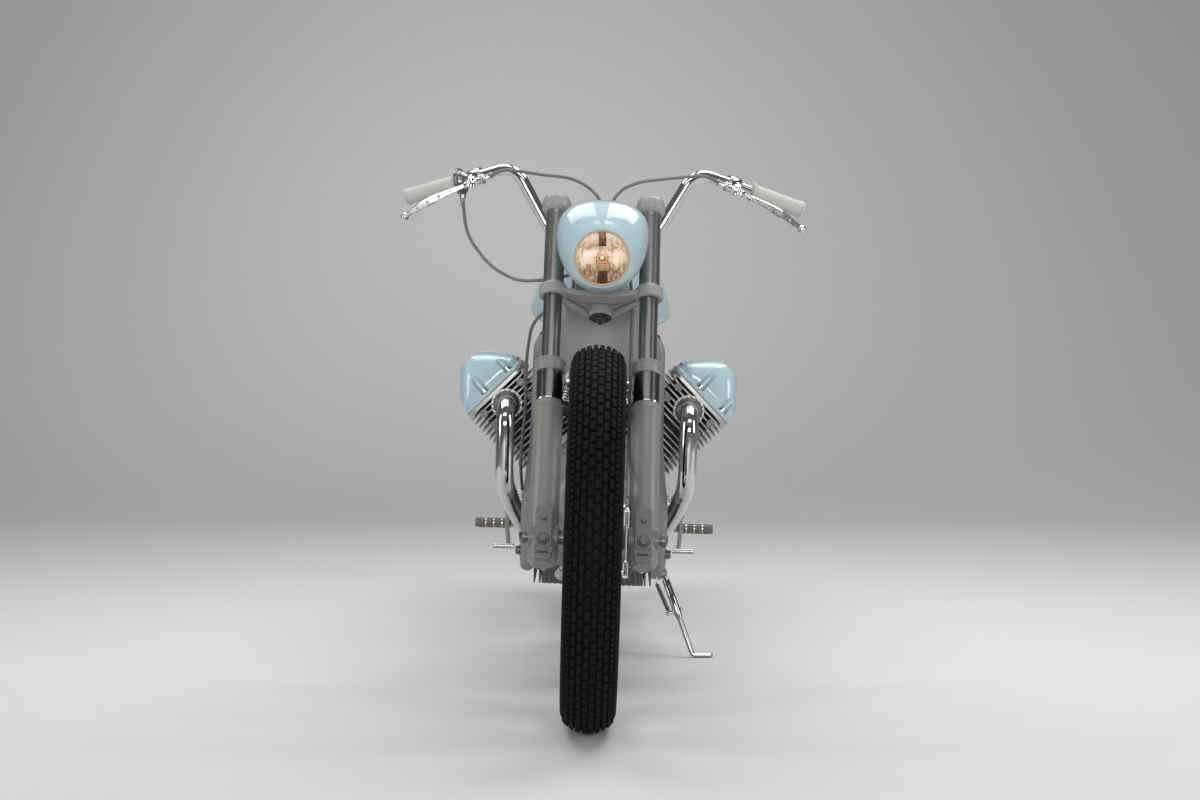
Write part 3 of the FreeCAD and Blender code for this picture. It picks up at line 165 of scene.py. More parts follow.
def lathe(outline, start=(0, 0, 0), direction=Z, segments=48):
    """Solid turned about a line from (along, radius) points; a radius of 0 closes the end."""
    points, faces, rows = [], [], []
    for height, radius in outline:
        if radius < 1e-6:
            rows.append([len(points)])
            points.append((0, 0, height))
        else:
            rows.append(list(range(len(points), len(points) + segments)))
            points += [(radius * math.cos(a), radius * math.sin(a), height) for a in angles(segments)]
    for low, high in zip(rows, rows[1:]):
        for i in range(segments):
            j = (i + 1) % segments
            if len(low) == 1 and len(high) > 1:
                faces.append((low[0], high[j], high[i]))
            elif len(high) == 1 and len(low) > 1:
                faces.append((low[i], low[j], high[0]))
            elif len(low) > 1:
                faces.append((low[i], low[j], high[j], high[i]))
    for row, turn in ((rows[0], -1), (rows[-1], 1)):
        if len(row) > 1:
            faces.append(tuple(row[::turn]))
    return place((np.array(points, float), faces), along(Vector(start), direction))


def ring_lathe(outline, start=(0, 0, 0), direction=Z, segments=48):
    """Ring turned about a line from a closed outline of (along, radius) points."""
    rings = [[(r * math.cos(a), r * math.sin(a), h) for h, r in outline] for a in angles(segments)]
    return place(skin(rings, closed=True), along(Vector(start), direction))


def washer(low, high, inner, outer, start=(0, 0, 0), direction=Z, segments=48):
    """Plain ring between two places along a line."""
    return ring_lathe([(low, inner), (low, outer), (high, outer), (high, inner)], start, direction,
                      segments)


def rod(start, end, radius, segments=24):
    start, end = Vector(start), Vector(end)
    span = (end - start).length
    return lathe([(0, radius), (span, radius)], start, end - start, segments)


def capsule(start, end, radius, round_off=1.0, segments=24):
    """Rod with rounded ends."""
    start, end = Vector(start), Vector(end)
    span = (end - start).length
    o = min(round_off, radius * 0.9)
    outline = [(0, radius - o), (0.3 * o, radius - 0.3 * o), (o, radius), (span - o, radius),
               (span - 0.3 * o, radius - 0.3 * o), (span, radius - o)]
    return lathe(outline, start, end - start, segments)


def ball(centre, radius, segments=24):
    steps = max(6, segments // 2)
    outline = [(-radius * math.cos(math.pi * k / steps), radius * math.sin(math.pi * k / steps))
               for k in range(steps + 1)]
    outline[0], outline[-1] = (-radius, 0), (radius, 0)
    return lathe(outline, centre, Z, segments)


def box(low, high):
    (a, b, c), (d, e, f) = low, high
    points = np.array([(x, y, z) for x in (a, d) for y in (b, e) for z in (c, f)], float)
    faces = [(0, 1, 3, 2), (4, 6, 7, 5), (0, 4, 5, 1), (2, 3, 7, 6), (0, 2, 6, 4), (1, 5, 7, 3)]
    return points, faces


def sorted_corners(a, b):
    """Lowest and highest corner of the box between two points."""
    return [tuple(f(p) for p in zip(a, b)) for f in (min, max)]


def slab(outline, low, high):
    """Outline in x and y, raised from one height to another."""
    rings = [[(x, y, z) for x, y in outline] for z in (low, high)]
    return skin(rings)


def facing(outline, deep, centre):
    """Outline in x and z that stands forward of a centre."""
    turn = Matrix.Rotation(math.radians(90), 4, "X")
    return place(slab(outline, 0, deep), Matrix.Translation(centre) @ turn)


def soft_rectangle(width, length, corner, steps=5):
    """Outline of a rectangle with round corners."""
    points = []
    for sx, sy, start in ((1, 1, 0), (-1, 1, 90), (-1, -1, 180), (1, -1, 270)):
        cx, cy = sx * (width / 2 - corner), sy * (length / 2 - corner)
        for k in range(steps + 1):
            a = math.radians(start + 90 * k / steps)
            points.append((cx + corner * math.cos(a), cy + corner * math.sin(a)))
    return points


def path(points, bends, step=5):
    """Points along straight runs joined by tangent arcs."""
    points = [Vector(p) for p in points]
    bends = list(bends) if isinstance(bends, (list, tuple)) else [bends] * (len(points) - 2)
    result = [points[0]]
    for k in range(1, len(points) - 1):
        corner = points[k]
        back = (points[k - 1] - corner).normalized()
        ahead = (points[k + 1] - corner).normalized()
        half = (math.pi - back.angle(ahead)) / 2
        if half < 1e-4:
            continue
        reach = bends[k - 1] * math.tan(half)
        middle = corner + (back + ahead).normalized() * (bends[k - 1] / math.cos(half))
        first, last = corner + back * reach, corner + ahead * reach
        count = max(2, int(math.degrees(2 * half) / step))
        u, w = first - middle, last - middle
        for i in range(count + 1):
            t = i / count
            s = math.sin(2 * half)
            result.append(middle + u * (math.sin((1 - t) * 2 * half) / s)
                          + w * (math.sin(t * 2 * half) / s))
    result.append(points[-1])
    return result


def cord_bends(points):
    """Large tangent arcs for a held cable."""
    points = [Vector(p) for p in points]
    bends = []
    for k in range(1, len(points) - 1):
        a, b = points[k] - points[k - 1], points[k + 1] - points[k]
        half = a.angle(b) / 2
        bends.append(0.45 * min(a.length, b.length) / max(math.tan(half), 1e-4))
    return bends


def sweep(line, radius, segments=20):
    """Tube along a line of points; radius is a number or one for each point."""
    line = [Vector(p) for p in line]
    radii = radius if isinstance(radius, (list, tuple)) else [radius] * len(line)
    tangents = []
    for k in range(len(line)):
        a = line[max(k - 1, 0)]
        b = line[min(k + 1, len(line) - 1)]
        tangents.append((b - a).normalized())
    side = tangents[0].orthogonal().normalized()
    rings = []
    for k, centre in enumerate(line):
        if k:
            side = (tangents[k - 1].rotation_difference(tangents[k]) @ side).normalized()
        other = tangents[k].cross(side)
        rings.append([centre + (side * math.cos(a) + other * math.sin(a)) * radii[k]
                      for a in angles(segments)])
    return skin(rings)


def tube(points, radius, bends, segments=24):
    return sweep(path(points, bends), radius, segments)


def blend_rings(rings, steps):
    """Smoothly fills in rings between the given ones."""
    rings = [np.array([tuple(p) for p in r], float) for r in rings]
    result = []
    for k in range(len(rings) - 1):
        p0 = rings[max(k - 1, 0)]
        p1, p2 = rings[k], rings[k + 1]
        p3 = rings[min(k + 2, len(rings) - 1)]
        result += [spline(p0, p1, p2, p3, i / steps) for i in range(steps)]
    result.append(rings[-1])
    return result


def oval(half_x, half_z, power=2.0, count=64, centre=(0, 0)):
    """Rounded section of points, from an ellipse at 2 to squarer above it."""
    result = []
    for a in angles(count):
        c, s = math.cos(a), math.sin(a)
        result.append((centre[0] + half_x * math.copysign(abs(c) ** (2 / power), c),
                       centre[1] + half_z * math.copysign(abs(s) ** (2 / power), s)))
    return result


def bolt(start, direction, radius=6.0, height=5.0, washer=True):
    """Hexagon head with its washer."""
    shapes = []
    base = 0
    if washer:
        shapes.append(lathe([(0, radius * 1.3), (1.4, radius * 1.3)], segments=24))
        base = 1.4
    shapes.append(lathe([(base, radius), (base + height * 0.8, radius), (base + height, radius * 0.86)],
                        segments=6))
    return place(join(shapes), along(Vector(start), direction))


def cap_screw(start, direction, radius=4.0, height=4.0):
    """Round socket head screw."""
    shape = lathe([(0, radius), (height - 0.6, radius), (height, radius - 0.6), (height, radius * 0.5),
                   (height * 0.4, radius * 0.5), (height * 0.4, 0)], segments=16)
    return place(shape, along(Vector(start), direction))


# Materials


def material(name, colour, rough=0.5, metal=0.0, coat=0.0, bump=0.0, scale=400.0, spread=0.0, **extra):
    """Plain finish with a little unevenness in its roughness and surface."""
    made = bpy.data.materials.new(name)
    made.use_nodes = True
    nodes, links = made.node_tree.nodes, made.node_tree.links
    shader = nodes["Principled BSDF"]
    shader.inputs["Base Color"].default_value = (*colour, 1)
    shader.inputs["Roughness"].default_value = rough
    shader.inputs["Metallic"].default_value = metal
    shader.inputs["Coat Weight"].default_value = coat
    shader.inputs["Coat Roughness"].default_value = 0.04
    for key, value in extra.items():
        shader.inputs[key.replace("_", " ")].default_value = value
    if bump or spread:
        spot = nodes.new("ShaderNodeTexCoord")
        noise = nodes.new("ShaderNodeTexNoise")
        noise.inputs["Scale"].default_value = scale
        noise.inputs["Detail"].default_value = 4
        links.new(spot.outputs["Object"], noise.inputs["Vector"])
        if bump:
            bumper = nodes.new("ShaderNodeBump")
            bumper.inputs["Strength"].default_value = bump
            bumper.inputs["Distance"].default_value = 0.001
            links.new(noise.outputs["Fac"], bumper.inputs["Height"])
            links.new(bumper.outputs["Normal"], shader.inputs["Normal"])
        if spread:
            ramp = nodes.new("ShaderNodeMapRange")
            ramp.inputs["To Min"].default_value = rough - spread
            ramp.inputs["To Max"].default_value = rough + spread
            links.new(noise.outputs["Fac"], ramp.inputs["Value"])
            links.new(ramp.outputs["Result"], shader.inputs["Roughness"])
    return made


BLUE = material("blue_paint", (0.345, 0.475, 0.515), 0.45, coat=1.0, scale=60, spread=0.05)
GREY = material("grey_paint", (0.205, 0.2, 0.19), 0.36, bump=0.04, scale=900, spread=0.06)
LIGHT_GREY = material("clamp_paint", (0.272, 0.266, 0.255), 0.36, bump=0.04, scale=900, spread=0.06)
# The grey paint made darker for the fork bosses: painted shade on their faces.
SHADED_BOSS_GREY = material("boss_paint_painted_shade", (0.145, 0.14, 0.133), 0.4, bump=0.04, scale=900, spread=0.06)
ALLOY = material("cast_alloy", (0.40, 0.395, 0.38), 0.36, metal=0.85, bump=0.12, scale=700, spread=0.08)
# Nearly black barrel cores: painted shade in the gaps between the cooling fins.
FIN_GAP_SHADE = material("barrel_core_painted_shade", (0.035, 0.033, 0.031), 0.6, metal=0.3, bump=0.2, scale=500)
BLASTED = material("blasted_alloy", (0.25, 0.245, 0.235), 0.46, metal=0.4, bump=0.12, scale=900,
                   spread=0.08)
# A darker copy of the blasted alloy: painted shade over the sump's fins and the gaps between them.
SHADED_SUMP = material("sump_alloy_painted_shade", (0.115, 0.112, 0.107), 0.5, metal=0.3, bump=0.12, scale=900, spread=0.08)
CHROME = material("chrome", (0.62, 0.615, 0.61), 0.07, metal=1.0, scale=40, spread=0.02)
DARK_CHROME = material("dark_chrome", (0.142, 0.138, 0.134), 0.26, metal=1.0, scale=40, spread=0.03)
SHROUD = material("shroud_chrome", (0.33, 0.324, 0.318), 0.28, metal=1.0, scale=40, spread=0.03)
STAND = material("stand_chrome", (0.4, 0.395, 0.39), 0.1, metal=1.0, scale=40, spread=0.02)
# A dark copy of chrome: painted shade standing in for the dark studio that the tubes reflect.
SHADED_CHROME = material("stanchion_chrome_painted_shade", (0.21, 0.208, 0.206), 0.3, metal=1.0, scale=40, spread=0.03)
STEEL = material("steel", (0.46, 0.45, 0.43), 0.28, metal=1.0, spread=0.08, scale=300)
DARK_STEEL = material("dark_steel", (0.13, 0.125, 0.12), 0.36, metal=0.9, spread=0.08, scale=300)
RUBBER = material("tyre_rubber", (0.0058, 0.0058, 0.0056), 0.76, bump=0.25, scale=500, spread=0.1,
                  Specular_IOR_Level=0.11)
BLACK = material("black_satin", (0.012, 0.012, 0.013), 0.4, bump=0.05, scale=500, spread=0.06)
GRIP = material("grip_rubber", (0.45, 0.437, 0.41), 0.55, bump=0.06, scale=600)
LEATHER = material("seat_leather", (0.075, 0.034, 0.018), 0.45, bump=0.5, scale=260, spread=0.1)
CABLE = material("cable_cover", (0.12, 0.12, 0.125), 0.42, bump=0.1, scale=700, spread=0.06)
GLASS = material("lens_glass", (1.0, 0.985, 0.95), 0.015, scale=60, spread=0.01, Transmission_Weight=1.0,
                 IOR=1.28)
AMBER = material("bulb_glass", (0.62, 0.24, 0.06), 0.15, scale=90, spread=0.05,
                 Emission_Color=(0.9, 0.34, 0.06, 1), Emission_Strength=0.08)
GLOW = material("bulb_filament", (1.0, 0.8, 0.5), 0.4, scale=90, spread=0.05,
                Emission_Color=(1.0, 0.86, 0.62, 1), Emission_Strength=1.2)
RIM_AMBER = material("lens_rim", (0.42, 0.33, 0.22), 0.25, coat=0.6, scale=90, spread=0.05)
RED = material("tail_red", (0.42, 0.012, 0.012), 0.15, coat=0.6, bump=0.05, scale=300, spread=0.04)
PEG = material("peg_rubber", (0.15, 0.135, 0.12), 0.5, bump=0.2, scale=400)


def painted_reflector_finish():
    """Warm mirror, ribbed upright, with the patches that its lens shows painted in: painted highlights at
    the sides and the top, painted shade above and below the middle and towards the bottom, and a faint
    painted glow.
    """
    made = material("reflector", (0.9, 0.86, 0.8), 0.3, metal=0.45)
    nodes, links = made.node_tree.nodes, made.node_tree.links
    shader = nodes["Principled BSDF"]
    spot = nodes.new("ShaderNodeTexCoord")
    split = nodes.new("ShaderNodeSeparateXYZ")
    links.new(spot.outputs["Object"], split.inputs[0])

    def maths(kind, first, second=None):
        node = nodes.new("ShaderNodeMath")
        node.operation = kind
        for slot, value in zip(node.inputs, (first, second)):
            if hasattr(value, "links"):
                links.new(value, slot)
            elif value is not None:
                slot.default_value = value
        return node.outputs[0]

    lamp = BIKE @ LAMP
    x = maths("MULTIPLY", maths("SUBTRACT", split.outputs["X"], lamp.x), 1000.0)
    z = maths("MULTIPLY", maths("SUBTRACT", split.outputs["Z"], lamp.z), 1000.0)
    grain = nodes.new("ShaderNodeTexNoise")
    grain.inputs["Scale"].default_value = 90
    grain.inputs["Detail"].default_value = 3
    links.new(spot.outputs["Object"], grain.inputs["Vector"])
    # Upright stripes of painted reflection across the mirror.
    lines = maths("MULTIPLY", maths("SINE", maths("MULTIPLY", x, 2.2)), 0.13)
    square_z = maths("MULTIPLY", z, z)
    # Painted highlights to the left and right of the middle.
    away = maths("SUBTRACT", maths("ABSOLUTE", x), 27.0)
    side = maths("SUBTRACT", 1.0, maths("ADD", maths("DIVIDE", maths("MULTIPLY", away, away), 200.0),
                                        maths("DIVIDE", square_z, 260.0)))
    side = maths("MAXIMUM", side, 0.0)
    # Painted shade patches above and below the middle.
    upper = maths("MULTIPLY", maths("GREATER_THAN", z, 20.0), maths("LESS_THAN", maths("ABSOLUTE", x), 7.0))
    lower = maths("MULTIPLY", maths("LESS_THAN", z, -24.0), maths("LESS_THAN", maths("ABSOLUTE", x), 9.0))
    # Painted shade that darkens the lower half, and a painted highlight over the top.
    under = maths("MAXIMUM", maths("DIVIDE", maths("SUBTRACT", -8.0, z), 110.0), 0.0)
    above = maths("MAXIMUM", maths("DIVIDE", maths("SUBTRACT", z, 24.0), 30.0), 0.0)
    shade_patches = maths("ADD", maths("MULTIPLY", maths("ADD", upper, lower), 0.5), under)
    highlight_patches = maths("ADD", maths("MULTIPLY", side, 0.42), maths("MULTIPLY", above, 0.5))
    level = maths("ADD", maths("ADD", maths("MULTIPLY", grain.outputs["Fac"], 1.05), lines),
                  maths("SUBTRACT", highlight_patches, shade_patches))
    ramp = nodes.new("ShaderNodeValToRGB")
    stops = [(0.0, (0.06, 0.028, 0.014)), (0.28, (0.24, 0.165, 0.1)), (0.5, (0.58, 0.49, 0.36)),
             (0.72, (0.84, 0.80, 0.72)), (1.0, (1.0, 0.99, 0.97))]
    for end in (0, -1):
        ramp.color_ramp.elements[end].color = (*stops[end][1], 1)
    for at, colour in stops[1:-1]:
        ramp.color_ramp.elements.new(at).color = (*colour, 1)
    links.new(level, ramp.inputs["Fac"])
    links.new(ramp.outputs["Color"], shader.inputs["Base Color"])
    links.new(ramp.outputs["Color"], shader.inputs["Emission Color"])
    # Painted glow: the reflector gives off its own colour though it is no lamp.
    shader.inputs["Emission Strength"].default_value = 0.45
    return made


# The reflector's colour holds painted reflections and a painted glow.
MIRROR = painted_reflector_finish()


# Pieces


def link(name, data):
    """Puts a mesh, a light or a camera in the scene."""
    obj = bpy.data.objects.new(name, data)
    bpy.context.scene.collection.objects.link(obj)
    return obj


def mesh_from(name, shape):
    points, faces = shape
    mesh = bpy.data.meshes.new(name)
    mesh.from_pydata(points.tolist(), [], [list(f) for f in faces])
    return mesh


def soften(mesh, sharp=32):
    """Shades smooth but for edges over an angle."""
    mesh.polygons.foreach_set("use_smooth", [True] * len(mesh.polygons))
    mesh.set_sharp_from_angle(angle=math.radians(sharp))


def piece(name, shapes, finish, body, replaces=(), bevel=0.0, sharp=32, matrix=BIKE,
          segments=2):
    """One mesh from shapes, placed in the shared frame and riding on its body."""
    shape = join(shapes) if isinstance(shapes, list) else shapes
    mesh = mesh_from(name, place(shape, matrix))
    mesh.validate()
    built = bmesh.new()
    built.from_mesh(mesh)
    bmesh.ops.recalc_face_normals(built, faces=built.faces)
    built.to_mesh(mesh)
    built.free()
    soften(mesh, sharp)
    mesh.materials.append(finish)
    obj = link(name, mesh)
    if bevel:
        edge = obj.modifiers.new("edges", "BEVEL")
        edge.width = bevel * 0.001
        edge.segments = segments
        edge.limit_method = "ANGLE"
        edge.angle_limit = math.radians(sharp)
        edge.harden_normals = True
    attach(obj, body)
    if replaces:
        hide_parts(*replaces)
    return obj


# Wheels


def tyre_arc(radius, width, rim_radius):
    """Radius of a tyre's crown, and the outer edge of its tread."""
    section = radius - rim_radius
    half = width / 2
    edge = Vector((0.86 * half, radius - 0.16 * section))
    crown_radius = (edge.x ** 2 + (radius - edge.y) ** 2) / (2 * (radius - edge.y))
    return crown_radius, edge


def tread_block(across, turn, width, length, low, high, crown, centre_radius, shrink=0.86):
    """Rubber block on the crown, across in millimetres of arc and turn in radians round the wheel."""
    points = []
    for height, scale in ((low, 1.0), (high, shrink)):
        for u, v in ((-1, -1), (1, -1), (1, 1), (-1, 1)):
            a = (across + u * width * 0.5 * scale) / crown
            x = (crown + height) * math.sin(a)
            r = centre_radius - crown + (crown + height) * math.cos(a)
            t = turn + v * length * 0.5 * scale / centre_radius
            points.append((x, -r * math.cos(t), r * math.sin(t)))
    faces = [(4, 5, 6, 7), (0, 1, 5, 4), (1, 2, 6, 5), (2, 3, 7, 6), (3, 0, 4, 7)]
    return np.array(points, float), faces


def tyre_shapes(radius, width, rim_radius, rim_width, blocks):
    """Carcass, tread blocks in staggered rows and fine shoulder ribs."""
    depth = 6.5
    crown, edge = tyre_arc(radius, width, rim_radius)
    half = width / 2
    limit = math.asin(edge.x / crown)
    outline = []
    for k in range(13):
        a = limit * k / 12
        outline.append(((crown - depth) * math.sin(a), radius - crown + (crown - depth) * math.cos(a)))
    bulge = rim_radius + 0.5 * (radius - rim_radius)
    bead = rim_width / 2 - 4
    lip = rim_radius + 14
    side = [(half - 1.5, bulge + 20), (half - 0.6, bulge), (half - 3, bulge - 18),
            (0.5 * (half + bead), lip + 12), (bead + 1, lip)]
    knots = [np.array([p]) for p in (outline[-1], *side)]
    outline += [tuple(r[0]) for r in blend_rings(knots, 5)[1:]]
    outline += [(bead, rim_radius + 2), (bead - 6, rim_radius)]
    full = [(-x, r) for x, r in reversed(outline[1:])] + outline
    shapes = [ring_lathe(full, direction=X, segments=160)]
    pitch = 2 * math.pi / blocks
    rows = [(-2.5, 0.0), (-1.5, 0.5), (-0.5, 0.12), (0.5, 0.62), (1.5, 0.12), (2.5, 0.6)]
    step = 2 * crown * limit * 0.128
    for place_in_row, offset in rows:
        for k in range(blocks):
            shapes.append(tread_block(place_in_row * step, (k + offset) * pitch, step * 0.72,
                                      pitch * radius * 0.8, -depth - 0.5, 0, crown, radius, 0.9))
    for side_x in SIDES:
        for k in range(2 * blocks):
            shapes.append(tread_block(side_x * 3.42 * step, (k + 0.25) * pitch / 2, step * 0.7,
                                      pitch * radius * 0.36, -depth - 0.5, -0.2, crown, radius))
        for k in range(4 * blocks):
            shapes.append(tread_block(side_x * 4.1 * step, k * pitch / 4, step * 0.55,
                                      pitch * radius * 0.11, -depth - 1.5, -1.4, crown, radius, 0.8))
    return shapes


def rim_shapes(radius, width):
    """Rim with its lips and its well, hollow between them."""
    half = width / 2
    inner = half - 4
    drop = radius - 16
    outer = [(half, radius + 12), (half - 1.5, radius + 13), (inner, radius + 12), (inner - 1, radius),
             (0.5 * inner, radius - 4), (0.32 * inner, drop), (-0.32 * inner, drop),
             (-0.5 * inner, radius - 4), (-inner + 1, radius), (-inner, radius + 12),
             (-half + 1.5, radius + 13), (-half, radius + 12), (-half, radius - 2),
             (-half + 4, radius - 4), (-0.55 * inner, radius - 8), (-0.35 * inner, drop - 4),
             (0.35 * inner, drop - 4), (0.55 * inner, radius - 8), (half - 4, radius - 4),
             (half, radius - 2)]
    return [ring_lathe(outer, direction=X, segments=128)]


def spoke_shapes(flange_radius, flange_places, rim_radius):
    """Crossed spokes with a head at the hub and a nipple at the rim."""
    hook, reach = flange_radius - 6, rim_radius - 21
    wires, nipples = [], []
    for index, angle in enumerate(angles(36)):
        swing = math.radians(34) * (1 if (index // 2) % 2 else -1)
        x = flange_places[index % 2]
        a = angle + swing
        start = Vector((x, hook * math.cos(a), hook * math.sin(a)))
        end = Vector((math.copysign(4, x), reach * math.cos(angle), reach * math.sin(angle)))
        wires.append(rod(start, end, 1.9, 10))
        wires.append(ball(start + Vector((math.copysign(2, x), 0, 0)), 3.2, 8))
        nipples.append(rod(end - (end - start).normalized() * 16, end, 3.0, 8))
    return wires, nipples


def wheel(label, centre, sizes, hub_outline, flange_radius, flange_places, blocks):
    """Tyre, rim, hub and spokes round an axle."""
    radius, width, rim_radius, rim_width = sizes
    at = BIKE @ Matrix.Translation(centre)
    body = label + "_wheel"
    piece(label + "_tyre_look", tyre_shapes(radius, width, rim_radius, rim_width, blocks), RUBBER, body,
          [label + "_tyre"], matrix=at, sharp=28)
    piece(label + "_rim_look", rim_shapes(rim_radius, rim_width), CHROME, body,
          [label + "_rim"], matrix=at)
    wires, nipples = spoke_shapes(flange_radius, flange_places, rim_radius)
    piece(label + "_hub_look", [lathe(hub_outline, direction=X, segments=64)], BLASTED, body,
          [label + "_hub"], matrix=at, bevel=1.0)
    piece(label + "_spokes_look", wires + nipples, CHROME, body, matrix=at)


def build_wheels():
    front = [(-52, 8.6), (-52, 22), (-44, 24), (-42, 56), (-36, 56), (-30, 34), (-6, 40), (2, 84),
             (8, 88), (40, 88), (42, 86), (42, 8.6)]
    rear = [(-48, 8.6), (-48, 62), (-40, 66), (-34, 66), (-28, 40), (20, 38), (28, 66), (34, 66), (38, 58),
            (44, 58), (44, 8.6)]
    wheel("front", (0, 0, FRONT_R), (FRONT_R, FRONT_W, 241, 62), front, 56, (39, -39), 90)
    wheel("rear", (0, WHEELBASE, REAR_R), (REAR_R, REAR_W, 205, 84), rear, 66, (31, -37), 86)


# Fork


def build_fork():
    at = BIKE @ FORK
    build_legs(at)
    build_tubes(at)
    build_lower_clamp(at)
    build_upper_clamp(at)
    build_axle_end()


def build_legs(at):
    """Sliders with their bosses, pinch slots, dust caps and polished sleeves; the bosses are a darker grey
    as painted shade, and the slots are filled with black as painted shade.
    """
    face, bore = -SLIDER - 6, FORK_TUBE + 0.4
    legs, bosses, screws, slots, caps, sleeves, rings = ([] for _ in range(7))
    for s in SIDES:
        x = s * LEG_X
        legs.append(lathe([(-54, 0), (-54, 18), (-50, 23.5), (-44, SLIDER), (250, SLIDER),
                           (250.5, SLIDER + 1.2), (256.5, SLIDER + 1.2), (257, SLIDER), (262, SLIDER),
                           (265, 24.5), (265, FORK_TUBE + 0.2)], (x, 0, 0)))
        for size, corner, deep, height in (((30, 77), 5, 32.5, 8.5), ((34, 16), 4, 30.5, -34),
                                           ((30, 12), 4, 29.5, -47)):
            bosses.append(facing(soft_rectangle(*size, corner, 4), deep, (x, 0, height)))
        bosses.append(lathe([(0, 24), (0.5, 25), (53, 25), (53.5, 24)], (x - 26.7, 0, 0), X))
        # A black block in each pinch slot and a thin black ring round the big screw: painted shade.
        slots.append(box((x - 10, -31.2, -41.6), (x + 10, -10, -38.6)))
        slots.append(washer(0, 0.3, 9.8, 11.6, (x, face, -16), -Y, 40))
        screws += [bolt((x, face, 24), -Y, 4.4, 3.4), bolt((x, face, -16), -Y, 8.0, 5.5)]
        caps.append(ring_lathe([(322, bore), (322, 26), (326, 27), (339, 27.5), (341, 29), (345, 28.6),
                                (348, 24.5), (348.2, 19), (347.6, bore)], (x, 0, 0)))
        sleeves.append(washer(266, 321.8, bore, 24, (x, 0, 0)))
        rings.append(ring_lathe([(262, bore), (262, 25.6), (263.5, 26.3), (266, 26), (267.5, 24.3),
                                 (267.5, bore)], (x, 0, 0)))
    piece("fork_legs", legs, GREY, "steering", ["sliders"], matrix=at, bevel=0.6)
    # The bosses take the grey paint darkened as painted shade.
    piece("fork_bosses", bosses, SHADED_BOSS_GREY, "steering", matrix=at, bevel=2.0, segments=3)
    # Painted shade in the slots and round the screw.
    piece("fork_slot_shadows", slots, BLACK, "steering", matrix=at)
    piece("fork_screws", screws, DARK_STEEL, "steering", matrix=at, bevel=0.5)
    piece("dust_caps", caps, GREY, "steering", ["dust_covers"], matrix=at, bevel=0.6)
    piece("polished_sleeves", sleeves, DARK_CHROME, "steering", matrix=at)
    piece("sleeve_rings", rings, CHROME, "steering", matrix=at)


def build_tubes(at):
    """Fork tubes with the shrouds and rings between the clamps."""
    foot, shoulder, top, shroud = 120, 502, 673, FORK_TUBE + 2
    under = CLAMP_HIGH - 0.2
    tubes, shrouds, collars = [], [], []
    for s in SIDES:
        x = s * LEG_X
        tubes.append(lathe([(foot, 0), (foot, FORK_TUBE), (shoulder, FORK_TUBE), (shoulder, 0)], (x, 0, 0)))
        shrouds.append(lathe([(shoulder, 0), (shoulder, shroud), (under, shroud), (under, FORK_TUBE),
                              (top, FORK_TUBE), (top, 0)], (x, 0, 0)))
        collars += [washer(502.5, 506, 18.4, 20, (x, 0, 0)), washer(649, 654.5, 18.4, 20, (x, 0, 0))]
    # Fork tubes in the darkened chrome, painted shade for their reflections.
    piece("fork_tubes", tubes, SHADED_CHROME, "steering", ["stanchions"], matrix=at)
    piece("fork_shrouds", shrouds, SHROUD, "steering", matrix=at, bevel=0.4)
    piece("shroud_rings", collars, STEEL, "steering", matrix=at)


def arch(reach, top, top_dip, bottom, bottom_dip, front, rear, count=24):
    """Bar between the legs whose front view sags in an arc."""
    rings = []
    for k in range(count + 1):
        u = -1 + 2 * k / count
        fall = 1 - u * u
        x = u * reach
        low, high = bottom - bottom_dip * fall, top - top_dip * fall
        rings.append([(x, front, low), (x, rear, low), (x, rear, high), (x, front, high)])
    return skin(rings)


def clamp_web(outer, inner, low, high, steps=8):
    """Thin web from a leg back to the stem, falling as it goes."""
    rings = []
    for k in range(steps + 1):
        u = k / steps
        across = outer * 0.8 * (1 - u) + inner * u
        front, drop = 4 + (STEM_Y - 12) * u, 7 * u * u
        rings.append([(across, y, z - drop) for y, z in
                      ((front, low), (front + 14, low), (front + 14, high + 6), (front, high + 6))])
    return skin(rings)


def build_lower_clamp(at):
    base, bore = CLAMP_LOW, FORK_TUBE + 0.2
    stem = (0, STEM_Y, 0)
    shapes = [arch(LEG_X, base + 21, 13, base + 9, 11, -14, 16)]
    for s in SIDES:
        shapes.append(ring_lathe([(base, bore), (base, 24.5), (base + 2, 26), (base + 20, 26),
                                  (base + 24, 22.5), (base + 24, bore)], (s * LEG_X, 0, 0)))
        shapes.append(clamp_web(s * LEG_X, s * 12, base + 5, base + 7))
        shapes.append(clamp_web(s * LEG_X, s * 22, base - 6, base - 4))
    shapes.append(slab([(-60, 14), (60, 14), (20, STEM_Y + 16), (-20, STEM_Y + 16)], base + 6, base + 12))
    shapes.append(lathe([(base - 12, 0), (base - 12, 21), (base - 9, 24), (base - 4, 25), (base + 12, 27),
                         (base + 12, 0)], stem))
    piece("lower_clamp_look", shapes, LIGHT_GREY, "steering", ["lower_clamp"], matrix=at,
          bevel=1.8, segments=3)
    nut = [lathe([(base - 26, 0), (base - 24.5, 4), (base - 20, 8), (base - 15, 10.5), (base - 12, 12.5),
                  (base - 12, 0)], stem),
           lathe([(base - 16, 0), (base - 16, 16), (base - 11.5, 17), (base - 11.5, 0)], stem, segments=40)]
    piece("stem_nut", nut, BLACK, "steering", matrix=at, bevel=0.6)
    piece("stem_washer", [washer(base - 13.5, base - 11.6, 16, 20.5, stem, segments=40)], DARK_STEEL,
          "steering", matrix=at)


def clamp_bridge(outer, inner, base, top, steps=10):
    """Rounded arm from a leg's cap back to the stem, swelling beside the leg."""
    rings = []
    for k in range(steps + 1):
        u = k / steps
        across = outer * (1 - u) + inner * u
        high = top + 4 + 34 * u * (1 - u) ** 2
        section = oval(17 + 6 * u, (high - base - 2) / 2, 3.0, 20,
                       (STEM_Y * u ** 0.8, (high + base + 2) / 2))
        rings.append([(across, y, z) for y, z in section])
    return skin(rings)


